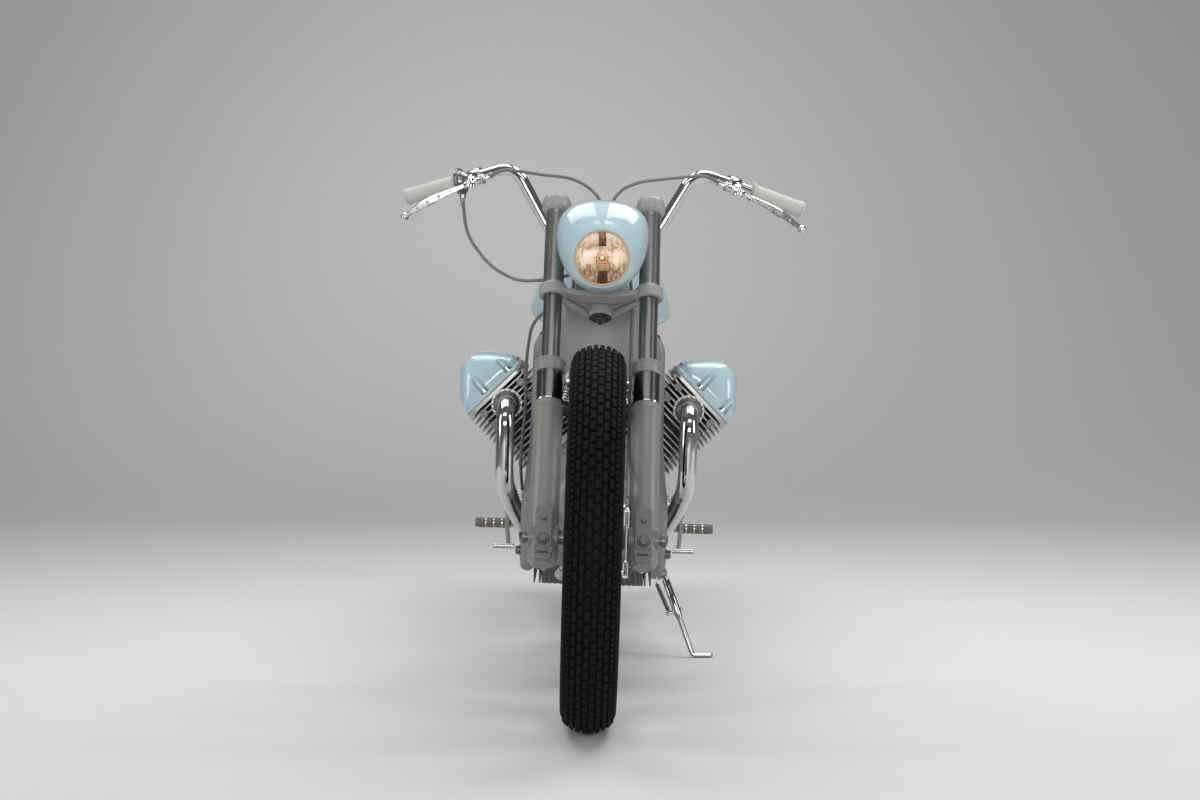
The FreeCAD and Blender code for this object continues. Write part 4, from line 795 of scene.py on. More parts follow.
def build_upper_clamp(at):
    base, top, riser = CLAMP_HIGH, CLAMP_TOP, 34
    stem = (0, STEM_Y, 0)
    bar = FORK.inverted() @ BAR[0]
    shapes, bits = [], []
    for s in SIDES:
        x = s * LEG_X
        shapes.append(lathe([(base, 0), (base, 20), (base + 2, 21.4), (base + 4.5, 25), (base + 8, 26.5),
                             (top - 2, 26.5), (top + 3, 25.4), (top + 6.5, 22.5), (top + 9, 17),
                             (top + 10.6, 9), (top + 11, 0)], (x, 0, 0), segments=56))
        shapes.append(clamp_bridge(x, s * 12, base, top))
        shapes.append(box((s * riser - 11, STEM_Y, base + 3), (s * riser + 11, bar.y, top - 3)))
        shapes.append(ring_lathe([(0, 11), (0, 17.5), (0.5, 18), (21.5, 18), (22, 17.5), (22, 11)],
                                 (s * riser - 11, bar.y, bar.z), X))
        bits += [bolt((s * riser, bar.y + dy, bar.z + 14), Z, 4.5, 3.5) for dy in (-11, 11)]
    shapes.append(lathe([(base, 0), (base, 25), (base + 1, 26), (top - 1, 26), (top, 25), (top, 0)], stem))
    piece("upper_clamp_look", shapes, LIGHT_GREY, "steering", ["upper_clamp"], matrix=at,
          bevel=1.6, segments=3)
    bits.append(lathe([(top, 0), (top, 16), (top + 2, 17), (top + 6, 17), (top + 9.5, 12), (top + 10, 0)],
                      stem, segments=6))
    bits.append(lathe([(top + 9, 0), (top + 9, 8), (top + 20, 8), (top + 22, 10), (top + 27, 10),
                       (top + 30, 7), (top + 31, 0)], stem, segments=24))
    piece("upper_clamp_screws", bits, CHROME, "steering", matrix=at, bevel=0.5)


def build_axle_end():
    """Front axle, and the brake plate with its two cams and the rod between them."""
    inner = LEG_X - SLIDER
    hub = (0, 0, FRONT_R)
    spindle = [lathe([(-127, 0), (-127, 11), (-126, 12), (-121, 12), (-121, 8.5), (121, 8.5), (121, 12),
                      (128, 12), (129, 11), (129, 0)], hub, X),
               lathe([(-inner, 0), (-inner, 13), (-52.3, 13), (-52.3, 0)], hub, X),
               bolt((129, 0, FRONT_R), X, 7, 2, False)]
    piece("front_axle_look", spindle, DARK_STEEL, "steering", ["front_axle"], bevel=0.5)
    start = 42.3
    plate = lathe([(start, 0), (start, 83), (start + 1, 84), (start + 5, 84), (start + 6, 82),
                   (start + 9, 70), (start + 9, 34), (start + 12, 20), (inner - 1, 16), (inner, 15),
                   (inner, 0)], hub, X, 72)
    upper, lower = Vector((58, -22, FRONT_R + 62)), Vector((58, -22, FRONT_R - 55))
    reach = Vector((0, -22, -6))
    shapes = []
    for cam in (upper, lower):
        shapes += [rod((start + 4, cam.y, cam.z), cam, 6), capsule(cam, cam + reach, 4.5, 2),
                   bolt(cam - X, X, 4.5, 2.0, False)]
    top, low = upper + reach, lower + reach
    shapes.append(rod(top - Z * 22, low + Z * 26, 2.2, 12))
    for end, way in ((top, -1), (low, 1)):
        for dx in (-3.6, 3.6):
            shapes.append(box(end + Vector((dx - 0.9, -3.5, min(0, way * 26))),
                              end + Vector((dx + 0.9, 3.5, max(0, way * 26)))))
        shapes.append(rod(end - X * 5.5, end + X * 5.5, 2.4, 10))
        shapes.append(bolt(end + Z * way * 26, Z * way, 4.6, 4, False))
    piece("brake_plate_look", [plate], ALLOY, "steering", ["brake_plate"], bevel=0.8)
    piece("brake_arms", shapes, CHROME, "steering", bevel=0.3)


# Handlebar and controls

BAR = [Vector((0, 425, 872)), Vector((96, 425, 872)), Vector((172, 438, 1004)), Vector((380, 528, 938))]
GRIP_LENGTH = 112
CABLE_RADIUS = 3.2


def bar_spot(distance):
    """Place on the left half of the bar, that far in from its end, and the way in along it."""
    way = (BAR[2] - BAR[3]).normalized()
    return BAR[3] + way * distance, way


def lever_pivot():
    """Start of the perch on the bar, the way in along the bar, and the lever's pivot before it."""
    start, way = bar_spot(GRIP_LENGTH + 28)
    return start, way, start + Vector((-2, -32, -8))


def build_handlebar():
    right = [flip(p) for p in reversed(BAR[1:])]
    bar = tube(right + BAR[1:], 11, [45, 40, 40, 45], 32)
    piece("handlebar_look", [bar], CHROME, "steering", ["handlebar"])
    end, way = bar_spot(-3)
    profile = [(0, 0), (0, 14.6), (0.8, 16), (4.6, 16.3), (5.6, 15), (108, 15), (110, 18), (112, 19),
               (114.5, 18.5), (115, 15), (115, 0)]
    piece("grips_look", both([lathe(profile, end, way, 40)]), GRIP, "steering", ["grips"])
    start, way = bar_spot(GRIP_LENGTH + 1)
    exit_at, stop_at = start + way * 10, start + way * 1.5
    drum = [lathe([(0, 0), (0, 22), (0.8, 24.6), (2.5, 26), (6, 26), (8, 24.5), (9, 21), (13, 19.5),
                   (17, 16), (20, 12.5), (20, 0)], start, way, 48),
            rod(exit_at, exit_at - Z * 30, 5), lathe([(0, 6.2), (8, 6.2)], exit_at - Z * 34, Z, 6),
            rod(stop_at + Vector((0, -14, -15)), stop_at + Vector((0, -22, -22)), 3)]
    # The throttle housing shares the darkened chrome with its painted shade.
    piece("throttle_housing", [mirror(s) for s in drum], SHADED_CHROME, "steering", ["throttle_drum"],
          bevel=0.4)
    build_perches()
    build_levers()


def build_perches():
    """Lever perches with their fluted adjusters."""
    start, way, pivot = lever_pivot()
    shapes = [ring_lathe([(0, 11), (0, 15.5), (1, 16), (23, 16), (24, 15.5), (24, 11)], start, way, 32),
              capsule(start + way * 12, pivot, 7.6, 2), capsule(pivot + way * 2, pivot + way * 30, 5.6,
                                                                1.2)]
    wheel_at = pivot + way * 22
    for a in angles(12):
        out = way.orthogonal().normalized()
        out.rotate(Matrix.Rotation(a, 3, way))
        shapes.append(rod(wheel_at + out * 8.6, wheel_at + out * 8.6 + way * 5.5, 1.5, 8))
    shapes += [lathe([(0, 8), (0.6, 8.8), (5, 8.8), (5.5, 8)], wheel_at, way, 32),
               lathe([(-9, 7.6), (-8.4, 8.6), (-3.5, 8.6), (-3, 8)], pivot, Z, 32),
               lathe([(3, 8), (3.5, 8.6), (8.4, 8.6), (9, 7.6)], pivot, Z, 32),
               bolt(pivot + Z * 7.4, Z, 4.6, 1.6, False)]
    for dz in (-12, 12):
        spot = start + way * 12 + Vector((0, -9, dz))
        shapes.append(rod(spot, spot - Y * 6, 4))
    piece("lever_perches_look", both(shapes), CHROME, "steering", ["lever_perches"], bevel=0.4)


def build_levers():
    """Bowed flat levers, drilled through in four places, with a ball at the end."""
    pivot = lever_pivot()[2]
    tip = Vector((380, 452, 900))
    out = (tip - pivot).normalized()
    span = (tip - pivot).length
    up = (Z - out * Z.dot(out)).normalized()
    across = out.cross(up)
    section = ((-1, -0.8), (-0.6, -1), (0.6, -1), (1, -0.8), (1, 0.8), (0.6, 1), (-0.6, 1), (-1, 0.8))
    half_thick, bow, first, count = 3.1, 4.6, 11 / span, 72

    def middle(t):
        return pivot + out * (span * t) + up * bow * math.sin(math.pi * t ** 1.3)

    rings = []
    for k in range(count + 1):
        t = first + (1 - first) * k / count
        half_tall = 3.6 + 3.4 * math.exp(-((t - 0.62) / 0.28) ** 2)
        rings.append([middle(t) + across * dx * half_thick + up * dz * half_tall for dx, dz in section])
    obj = piece("levers_look", both([skin(rings)]), CHROME, "steering", ["levers"])
    holes = [(0.30, 2.2), (0.47, 3.2), (0.64, 3.6), (0.80, 3.0)]
    drill(obj, both([rod(middle(t) - across * 12, middle(t) + across * 12, radius, 20) for t,
                     radius in holes]))
    knobs = both([ball(tip, 8, 28), lathe([(-6, 6), (-5, 6.8), (5, 6.8), (6, 6)], pivot + out * 4, Z, 24),
                  capsule(pivot, pivot + out * 16, 6.2, 1.5)])
    piece("lever_balls", knobs, CHROME, "steering")


def drill(obj, shapes):
    """Cuts shapes out of a piece for good, and leaves it its one finish."""
    finish = obj.data.materials[0]
    cutter = link("cutter", mesh_from("cutter", place(join(shapes), BIKE)))
    change = obj.modifiers.new("drill", "BOOLEAN")
    change.operation = "DIFFERENCE"
    change.solver = "EXACT"
    change.object = cutter
    settle(obj)
    bpy.data.objects.remove(cutter)
    obj.data.materials.clear()
    obj.data.materials.append(finish)


def settle(obj):
    """Makes a piece's modifiers part of its mesh."""
    bpy.context.view_layer.update()
    view = bpy.context.evaluated_depsgraph_get()
    mesh = bpy.data.meshes.new_from_object(obj.evaluated_get(view))
    obj.modifiers.clear()
    obj.data = mesh
    soften(mesh)


# Headlight


def nacelle_ring(y, z, half_x, half_z, power, rise=0.0, count=96):
    """Section of the egg, its widest place raised, and rounder below than above."""
    points = []
    above, below = oval(1.0, 1.0, power, count), oval(1.0, 1.0, 2 + 0.02 * (power - 2), count)
    for (x, up), (u, down) in zip(above, below):
        if up > 0:
            points.append((half_x * x, y, z + rise + (half_z - rise) * up))
        else:
            points.append((half_x * u, y, z + rise + (half_z + rise) * down))
    return points


def build_headlight():
    """Egg-shaped shell, ring, reflector, bulb and lens, along a line through the lamp."""
    front, height = LAMP.y, LAMP.z
    rings = [nacelle_ring(front + y, height, r, r, 2) for y, r in
             ((22, 49.4), (6, 49.6), (4.5, 51), (4.4, 53), (7, 55.5))]
    egg = [(7, 0, 55.5, 55.5, 2, 0), (18, 3, 64, 62.5, 2.1, 1), (42, 10.5, 77, 75, 2.3, 12),
           (78, 19, 84, 83, 2.45, 19), (124, 26, 80, 77, 2.4, 17), (160, 31, 66, 66, 2.3, 8),
           (174, 32, 58, 60, 2.2, 5)]
    rings += blend_rings([nacelle_ring(front + y, height + z, *sizes) for y, z, *sizes in egg], 7)[1:]
    points, faces = skin(rings)
    piece("nacelle_look", (points, faces[:-2] + faces[-1:]), BLUE, "steering", ["nacelle"],
          sharp=50)
    rim = ring_lathe([(-1, 47.2), (-1.6, 48.6), (0, 50.4), (4, 51), (7, 50.6), (7, 46.5), (3, 46.2)], LAMP,
                     Y, 96)
    piece("headlight_ring", [rim], RIM_AMBER, "steering")
    deep, steps = 48.5, 12
    bowl = [(deep + 0.5, 0), (deep, 8)]
    for k in range(1, steps + 1):
        r = 8 + 39 * k / steps
        bowl.append((deep - 38 * (r / 47) ** 2, r))
    bowl += [(9, 49), (49.7, 49), (49.7, 0)]
    piece("reflector", [lathe(bowl, LAMP, Y, 72)], MIRROR, "steering", ["headlight"])
    bulb = [lathe([(48, 8), (38, 8), (38, 6.5), (26, 6.5), (22, 4.6), (20, 0)], LAMP, Y, 32),
            washer(12, 14, 9.5, 12.5, LAMP, Y, 48)]
    piece("bulb", bulb, AMBER, "steering")
    piece("bulb_wire", [ball(LAMP + Y * 21, 2.6, 16)], GLOW, "steering")
    build_lens(front, height)


def build_lens(front, height):
    """Domed glass on a round grid, ribbed upright on its inner face."""
    size, radius, thick = 80, 46.4, 2.2
    dome, rib, pitch = 10, 0.28, 4.4
    outer, inner, faces, index = [], [], [], {}
    for i in range(size + 1):
        for j in range(size + 1):
            x, z = 2 * i / size - 1, 2 * j / size - 1
            spread = math.hypot(x, z)
            if spread > 0:
                x, z = (c * max(abs(x), abs(z)) / spread for c in (x, z))
            r = math.hypot(x, z)
            y = front - 5 + dome * r * r
            flute = rib * math.cos(x * radius * 2 * math.pi / pitch) if r < 0.97 else 0.0
            index[i, j] = len(outer)
            outer.append((x * radius, y, height + z * radius))
            inner.append((x * radius, y + thick + flute, height + z * radius))
    total = len(outer)
    for i in range(size):
        for j in range(size):
            a, b, c, d = index[i, j], index[i + 1, j], index[i + 1, j + 1], index[i, j + 1]
            faces.append((a, b, c, d))
            faces.append((total + a, total + d, total + c, total + b))
    border = [index[i, 0] for i in range(size)] + [index[size, j] for j in range(size)]
    border += [index[i, size] for i in range(size, 0, -1)] + [index[0, j] for j in range(size, 0, -1)]
    for a, b in zip(border, border[1:] + border[:1]):
        faces.append((a, total + a, total + b, b))
    piece("lens_look", (np.array(outer + inner, float), faces), GLASS, "steering",
          ["headlight_lens"], sharp=60)


# Tank, seat and tail


def tank_section(rear, base, wide, top, half_width, top_width, count=64):
    """Section of the tank, round its widest place and its crest."""
    side = [(half_width * 0.62, base), (half_width * 0.95, base + 0.45 * (wide - base)), (half_width, wide),
            (0.5 * (half_width + top_width), 0.5 * (wide + top)),
            (top_width * 0.9, top - 0.12 * (top - wide))]
    knots = side + [(0, top)] + [(-x, z) for x, z in reversed(side)] + [(0, base - 2)]
    knots = [np.array(k, float) for k in knots]
    result = []
    total = len(knots)
    steps = count // total + 1
    for k in range(total):
        p0, p1, p2, p3 = (knots[(k + d) % total] for d in (-1, 0, 1, 2))
        for i in range(steps):
            x, z = spline(p0, p1, p2, p3, i / steps)
            result.append((x, rear, z))
    return result


def build_tank():
    """Tank, hollow underneath for the frame, and its cap with a fluted edge."""
    rows = [(446, 724, 750, 812, 64, 38), (500, 698, 736, 846, 112, 60), (600, 690, 733, 880, 136, 84),
            (740, 692, 738, 872, 126, 80), (850, 702, 742, 818, 92, 62), (896, 712, 738, 782, 60, 40)]
    rings = blend_rings([tank_section(*row) for row in rows], 8)
    obj = piece("tank_look", [skin(rings)], BLUE, "chassis", ["tank"], sharp=50)
    tunnel = [(420, 640), (420, 802), (478, 782), (860, 712), (920, 640)]
    drill(obj, [skin([[(x, y, z) for y, z in tunnel] for x in (-70, 70)])])
    cap = [(0, 30.5), (2, 31), (9, 31), (11, 29), (14, 26), (16, 10), (16.3, 0)]
    grooves = [lathe([(0, 33), (1.2, 33), (1.6, 32)], (0, 640, 873), Z, 48),
               lathe(cap, (0, 640, 874), Z, 64)]
    for a in angles(24):
        x, y = 30.6 * math.cos(a), 640 + 30.6 * math.sin(a)
        grooves.append(rod((x, y, 876), (x, y, 883), 1.6, 8))
    piece("filler_cap_look", grooves, CHROME, "chassis", ["filler_cap"], bevel=0.3)


def build_seat():
    """Ribbed seat on four feet, with a welt along its sides."""
    rows = [(900, 716, 756, 62), (960, 706, 768, 92), (1060, 706, 766, 112), (1240, 716, 782, 114),
            (1340, 722, 786, 96), (1372, 728, 776, 70)]

    def ring(y, low, high, half):
        return [(x, y, z) for x, z in oval(half, (high - low) / 2, 3.2, 72, (0, (low + high) / 2))]

    rings = blend_rings([ring(*row) for row in rows], 8)
    points, faces = skin(rings)
    for p in points:
        share = (p[1] - 930) / 400
        if 0 < share < 1 and p[2] > 740:
            rib = abs(math.sin(share * math.pi * 9)) ** 0.35
            edge = max(0.0, 1 - (abs(p[0]) / 88) ** 6)
            p[2] -= 4.0 * (1 - rib) * edge
    obj = piece("seat_look", (points, faces), LEATHER, "chassis", ["seat"], sharp=60)
    smooth = obj.modifiers.new("smooth", "SUBSURF")
    smooth.levels = smooth.render_levels = 1
    feet = []
    for s in SIDES:
        for rear, across, low, high in ((1060, 101.6, 683.8, 712), (1200, 106, 697, 722)):
            feet.append(rod((s * across, rear, low), (s * across, rear, high), 7, 20))
    piece("seat_feet", feet, BLACK, "chassis")
    welt = []
    for s in SIDES:
        line = [(s * 64, 904, 736), (s * 92, 960, 737), (s * 111, 1060, 736), (s * 113.4, 1150, 741),
                (s * 113, 1240, 749), (s * 96, 1338, 754), (s * 71, 1370, 752)]
        welt.append(sweep(path(line, 40), 2.0, 8))
    piece("seat_welt", welt, LEATHER, "chassis")


def build_tail():
    """Rear fender and its strut, tail lamp, and the battery box on its pins."""
    inner, half = REAR_R + 16, 70
    section = []
    for k in range(25):
        u = -1 + 2 * k / 24
        section.append((half * u, inner + 10 - 10 * abs(u) ** 2.0 * 0.9 - 27 * abs(u) ** 7))
    lifted = [(x * 1.035, z + 2.5 * (1 - abs(x / half) ** 6)) for x, z in reversed(section)]
    loop = section + lifted
    rings = []
    for k in range(61):
        a = math.radians(-34 + 118 * k / 60)
        rings.append([(x, WHEELBASE + r * math.sin(a), REAR_R + r * math.cos(a)) for x, r in loop])
    piece("rear_fender_look", [skin(rings)], BLUE, "chassis", ["rear_fender"], sharp=50)
    lamp_at = (0, 1404.3, 712)
    shell = lathe([(0, 0), (0, 18), (6, 22), (14, 26), (24, 28), (27, 28), (27, 0)], lamp_at, Y, 48)
    lens = lathe([(26, 0), (26, 26.5), (33, 25.5), (37, 20), (40, 12), (41, 0)], lamp_at, Y, 48)
    piece("tail_lamp_shell", [shell], CHROME, "chassis", ["tail_lamp"])
    piece("tail_lamp_lens", [lens], RED, "chassis")
    piece("fender_strut", [rod((0, 1390, 672), (0, 1390, 685.7), 8)], GREY, "chassis")
    pins = []
    for height in (548, 622):
        rise = (height - 400.5) / 263.5
        reach, y = 88 + 2 * rise - 14.3, 989 + 3 * rise
        pins.append(rod((-reach, y, height), (reach, y, height), 6))
    piece("battery_pins", pins, STEEL, "chassis")
    battery = place(slab(soft_rectangle(124, 110, 12), -65, 65), Matrix.Translation((0, 955, 585)))
    piece("battery_box_look", [battery], GREY, "chassis", ["battery_box"], bevel=6,
          segments=3)


# Engine


def fin_plate(width, length, height, thick=3.2, corner=22):
    """Cooling fin with a soft edge."""
    outline = soft_rectangle(width, length, corner, 6)
    inset = soft_rectangle(width - 1.6, length - 1.6, corner, 6)
    rings = [[(x, y, z) for x, y in ring] for ring, z in
             ((inset, height), (outline, height + 0.9), (outline, height + thick - 0.9),
              (inset, height + thick))]
    return skin(rings)


def build_cylinders():
    """Finned barrels and heads on their own bore lines, with ports, lugs, flanges and screws."""
    barrels, heads, cores, screws, flanges, lugs = [], [], [], [], [], []
    for s in SIDES:
        m = bore_frame(s)
        # The core between the fins is painted nearly black, as painted shade in the fin gaps.
        core = lathe([(118, 0), (118, 52), (206, 52), (206, 58), (286, 58), (286, 0)], segments=48)
        cores.append(place(core, m))
        local = [slab(soft_rectangle(120, 120, 14), 118, 128)]
        local += [fin_plate(138, 138, height) for height in range(134, 202, 10)]
        barrels += [place(q, m) for q in local]
        local = [fin_plate(150, 158, height) for height in range(210, 274, 10)]
        for y_way, radius in ((-1, 26), (1, 22)):
            local.append(lathe([(0, radius), (88, radius), (91, radius + 4), (93, radius + 4)],
                               (0, 0, HEAD_AT), Y * y_way, 40))
        for u, w in ((-46, 236), (48, 262), (-46, 266), (44, 230)):
            lugs.append(place(lathe([(0, 8.5), (81.5, 8.5), (82.5, 7.5), (82.5, 4), (76, 4), (76, 0)],
                                    (u, 0, w), -Y, 28), m))
        heads += [place(q, m) for q in local]
        flanges.append(place(slab(soft_rectangle(146, 154, 20), 278, 286), m))
        for u in (-66, 66):
            for v in (-68, 68):
                screws.append(place(bolt((u, v, 276), -Z, 5.5, 5), m))
    # Barrel cores in painted shade, so the fin gaps read dark.
    piece("barrel_cores", cores, FIN_GAP_SHADE, "chassis")
    piece("barrels", barrels, ALLOY, "chassis", ["cylinders"])
    piece("heads", heads, ALLOY, "chassis", ["cylinder_heads"])
    # The head lugs are dark steel as painted shade, darker than the alloy head round them.
    piece("head_lugs", lugs, DARK_STEEL, "chassis")
    piece("head_flanges", flanges, ALLOY, "chassis", bevel=1.0)
    piece("head_screws", screws, STEEL, "chassis", bevel=0.4)
    build_covers()


def build_covers():
    """Rocker covers like rounded roofs, scalloped round their screws."""
    base = COVER_AT
    sections = [(7, 70, 73, 5), (24, 68.5, 72, 5), (48, 50, 61, 4), (66, 33, 49, 3.2), (76, 21, 37, 2.8)]
    spots = [(u, v * w) for u, v in ((-66, 30), (-16, 70), (46, 68), (67, 24)) for w in SIDES]
    screws = []
    for s in SIDES:
        m = bore_frame(s)
        foot = slab(soft_rectangle(146, 152, 20, 6), base, base + 8)
        rings = [[(x, y, base + height) for x, y in oval(hx, hy, power, 96)]
                 for height, hx, hy, power in sections]
        crown = skin(blend_rings(rings, 6))
        side = "left" if s > 0 else "right"
        obj = piece("rocker_cover_" + side, [place(crown, m)], BLUE, "chassis",
                    ["rocker_covers"] if s > 0 else (), sharp=50)
        drill(obj, [place(rod((u, v, base + 8), (u, v, base + 90), 9, 32), m) for u, v in spots])
        piece("rocker_foot_" + side, [place(foot, m)], BLUE, "chassis", bevel=2.0, segments=3)
        for u, v in spots:
            screws.append(place(lathe([(0, 7.4), (1.6, 7.4), (2, 7)], (u, v, base + 8), segments=28), m))
            screws.append(place(cap_screw((u, v, base + 9.8), Z, 5.2, 6.5), m))
    piece("rocker_screws", screws, CHROME, "chassis", bevel=0.4)


def build_crankcase():
    """Crankcase whose two decks take the barrels, and all that is bolted to it."""
    deep, half, low = 196, 62 / math.sqrt(2), 230 - CRANK.z
    deck = 118 / math.sqrt(2)
    outline = [(106, low), (106, -52), (134, -26), (deck + half, deck - half), (deck - half, deck + half)]
    outline += [(-x, z) for x, z in reversed(outline)]
    rings = [[(x, y, CRANK.z + z) for x, z in outline] for y in (CASE_FRONT, CASE_FRONT + deep)]
    piece("crankcase_look", [skin(rings)], BLASTED, "chassis", ["crankcase"], bevel=5,
          segments=3)
    build_timing_cover()
    build_sump()
    build_gearbox()


def build_timing_cover():
    """Squarish plate with a round stepped cover on it and a ring of screws."""
    middle, squareness, count = 359, 3.2, 14
    hub = (0, 480, CRANK.z)
    rings = []
    for y, shrink in ((CASE_FRONT - 0.2, 0), (486, 1), (478, 5), (472, 14)):
        rings.append([(x, y, z) for x, z in oval(100 - shrink, 112 - shrink, squareness, 96, (0, middle))])
    cover = [skin(rings),
             lathe([(0, 0), (0, 78), (12, 78), (14, 76), (22, 71), (27, 62), (30, 52), (31, 50), (31.5, 44),
                    (32, 0)], hub, -Y, 96),
             ring_lathe([(30, 46), (33.5, 46), (34, 45), (34, 41), (33.5, 40), (30, 40)], hub, -Y, 96)]
    piece("timing_cover_look", cover, BLASTED, "chassis", ["timing_cover"], bevel=1.2)
    screws = []
    for k in range(count):
        a = 2 * math.pi * (k + 0.5) / count
        x, z = (r * math.copysign(abs(f(a)) ** (2 / squareness), f(a)) for r,
                f in ((89, math.cos), (101, math.sin)))
        screws.append(cap_screw((x, 474, middle + z), -Y, 4.2, 4.5))
    piece("timing_cover_screws", screws, STEEL, "chassis", bevel=0.3)


def build_sump():
    """Pan whose fins run fore and aft, a little shorter towards its sides."""
    front, rear, foot, top, half_wide, fins = 504, 692, 192, 229.8, 113, 23
    pan = [box((-99, 510, 195), (99, rear, top)), box((-half_wide, front, top - 8), (half_wide, rear, top))]
    for k in range(fins):
        x = half_wide * (2 * k / (fins - 1) - 1)
        pan.append(box((x - 1.6, front, foot + 4 * abs(x) / half_wide), (x + 1.6, rear, top - 4)))
    # The sump's alloy is darkened as painted shade.
    piece("sump_look", pan, SHADED_SUMP, "chassis", ["sump"], bevel=0.6)
    bits = [bolt((x, front, top - 4), -Y, 4.4, 3) for x in (-96, -60, 60, 96)]
    bits.append(bolt((-62, front, 214), -Y, 9, 6))
    piece("sump_screws", bits, STEEL, "chassis", bevel=0.4)


def build_gearbox():
    """Round bell housing and a ribbed box behind it, both level with the sump's top below."""
    front, floor = 696.2, 244
    bell = lathe([(0, 0), (0, 130), (2, 132), (20, 132), (30, 128), (70, 112), (84, 95), (90, 86), (90, 0)],
                 (0, front, CRANK.z), Y, 72)
    gear = place(slab(soft_rectangle(148, 150, 14), 0, 196),
                 Matrix.Translation((-4, front + 40, 352)) @ Matrix.Rotation(math.radians(-90), 4, "X"))
    for name, shape, nodes in (("gearbox_bell", bell, ()), ("gearbox_look", gear, ["gearbox"])):
        obj = piece(name, [shape], BLASTED, "chassis", nodes, bevel=2.5, segments=3)
        drill(obj, [box((-220, front - 60, 100), (220, front + 320, floor))])
    ribs = [lathe([(0, 24), (48, 24), (50, 22.5), (50, 0)], (-36, front + 198, 330), Y, 36)]
    for k in range(5):
        ribs.append(box((-79, front + 62 + 34 * k, 262), (71, front + 66 + 34 * k, 414.5)))
    ribs += [bolt((s * 66 - 4, front + 236, 352 + w), Y, 6, 4) for s in SIDES for w in (-54, 54)]
    piece("gearbox_ribs", ribs, BLASTED, "chassis", bevel=1.0)


def port(side):
    """Middle of an exhaust port's face."""
    return bore_frame(side) @ Vector((0, -93, HEAD_AT))


def build_exhausts():
    """Headers from the ports, round beside the engine and back to short silencers."""
    pipes, crowns, silencers, shade_patches = [], [], [], []
    for s in SIDES:
        p = port(s)
        start = p - Y * 0.2
        crowns.append(ring_lathe([(0, 17), (0, 24), (1, 26), (6, 26), (8, 21.5), (12, 21.5), (14, 24),
                                  (20, 24), (23, 21), (24, 19), (24, 17)], start, -Y, 48))
        for a in angles(18):
            out = Vector((math.cos(a), 0, math.sin(a)))
            crowns.append(box_between(start + out * 22 - Y * 7, start + out * 28.5 - Y * 7, 3.0, 13))
        shade_patches.append(washer(0, 1, 17.7, 24.5, start - Y * 13.6, -Y, 40))
        x = abs(p.x)
        points = [(x, p.y - 8, p.z), (x, p.y - 62, p.z), (x - 1, p.y - 62, 398), (160, 520, 345),
                  (134, 570, 294), (134, 860, 288), (128, 940, 262), (128, 980, 260)]
        pipes.append(tube([(s * q[0], q[1], q[2]) for q in points], 17.5, [38, 60, 50, 80, 160, 60], 36))
        silencers.append(ring_lathe([(0, 17), (0, 19.5), (4, 22), (26, 32), (150, 32), (155, 31), (158, 28),
                                     (158, 22), (120, 22), (120, 17)], (s * 128, 960, 260), Y, 48))
    piece("exhaust_pipes", pipes, CHROME, "chassis", ["exhausts"])
    piece("silencers", silencers, CHROME, "chassis", bevel=0.5)
    piece("crown_nuts", crowns, DARK_STEEL, "chassis", bevel=0.5)
    piece("crown_shadows", shade_patches, BLACK, "chassis")
    brackets = []
    for s in SIDES:
        brackets.append(bolt((s * 146, 497, 372), -Y, 5, 4))
        brackets.append(box_between(Vector((s * 132, 500, 372)), Vector((s * 158, 502, 366)), 9, 5))
    piece("exhaust_brackets", brackets, STEEL, "chassis", bevel=0.6)


def box_between(start, end, half, deep):
    """Small bar of rectangular section between two points, deep along y."""
    way = (end - start).normalized()
    side = way.cross(Y).normalized() * half * 0.5
    back = Y * deep * 0.5
    rings = [[q - side - back, q + side - back, q + side + back, q - side + back] for q in (start, end)]
    return skin(rings)


def build_carburettors():
    """Carburettors on bent necks behind the heads, with bell mouths that face inwards."""
    shapes, trims = [], []
    for s in SIDES:
        start = bore_frame(s) @ Vector((0, 93.2, HEAD_AT))
        inward = Vector((-s * 60, 40, 0))
        body = start + Y * 34 + inward
        shapes.append(tube([start, start + Y * 34, body], 19, [20], 32))
        way = inward.normalized()
        shapes.append(rod(body, body + way * 50, 26, 32))
        middle = body + way * 25
        shapes.append(lathe([(-52, 0), (-52, 16), (-48, 20), (40, 20), (44, 18), (46, 12), (46, 0)],
                            middle, Z, 32))
        trims.append(ring_lathe([(49, 16), (49, 27), (55, 30), (58, 29), (54, 24), (52, 16)], body, way,
                                40))
        trims.append(ring_lathe([(-30, 19), (-30, 21.5), (-27, 21.5), (-27, 19)], middle, Z, 32))
    piece("carburettors_look", shapes, BLASTED, "chassis", ["carburettors"], bevel=0.8)
    piece("carburettor_trims", trims, CHROME, "chassis")


# Frame


def build_frame():
    build_steering_head(BIKE @ FORK)
    build_top_rails()
    build_pivot_plates()
    build_cradle()
    build_panel()
    build_rear()


def build_steering_head(at):
    base, top, web_rear = 496.3, 654.7, STEM_Y + 59.5
    head = [ring_lathe([(base, 14.1), (base, 26), (base + 1, 27), (base + 8, 27), (base + 10, 25.5),
                        (top - 10, 25.5), (top - 8, 27), (top - 1, 27), (top, 26), (top, 14.1)],
                       (0, STEM_Y, 0), Z)]
    web = [(STEM_Y + 20, base + 14), (STEM_Y + 20, top - 30), (web_rear, top - 50), (web_rear, base + 24)]
    head.append(skin([[(x, y, z) for y, z in web] for x in (-14, 14)]))
    piece("steering_head_look", head, GREY, "chassis", ["steering_head"], matrix=at, bevel=1)


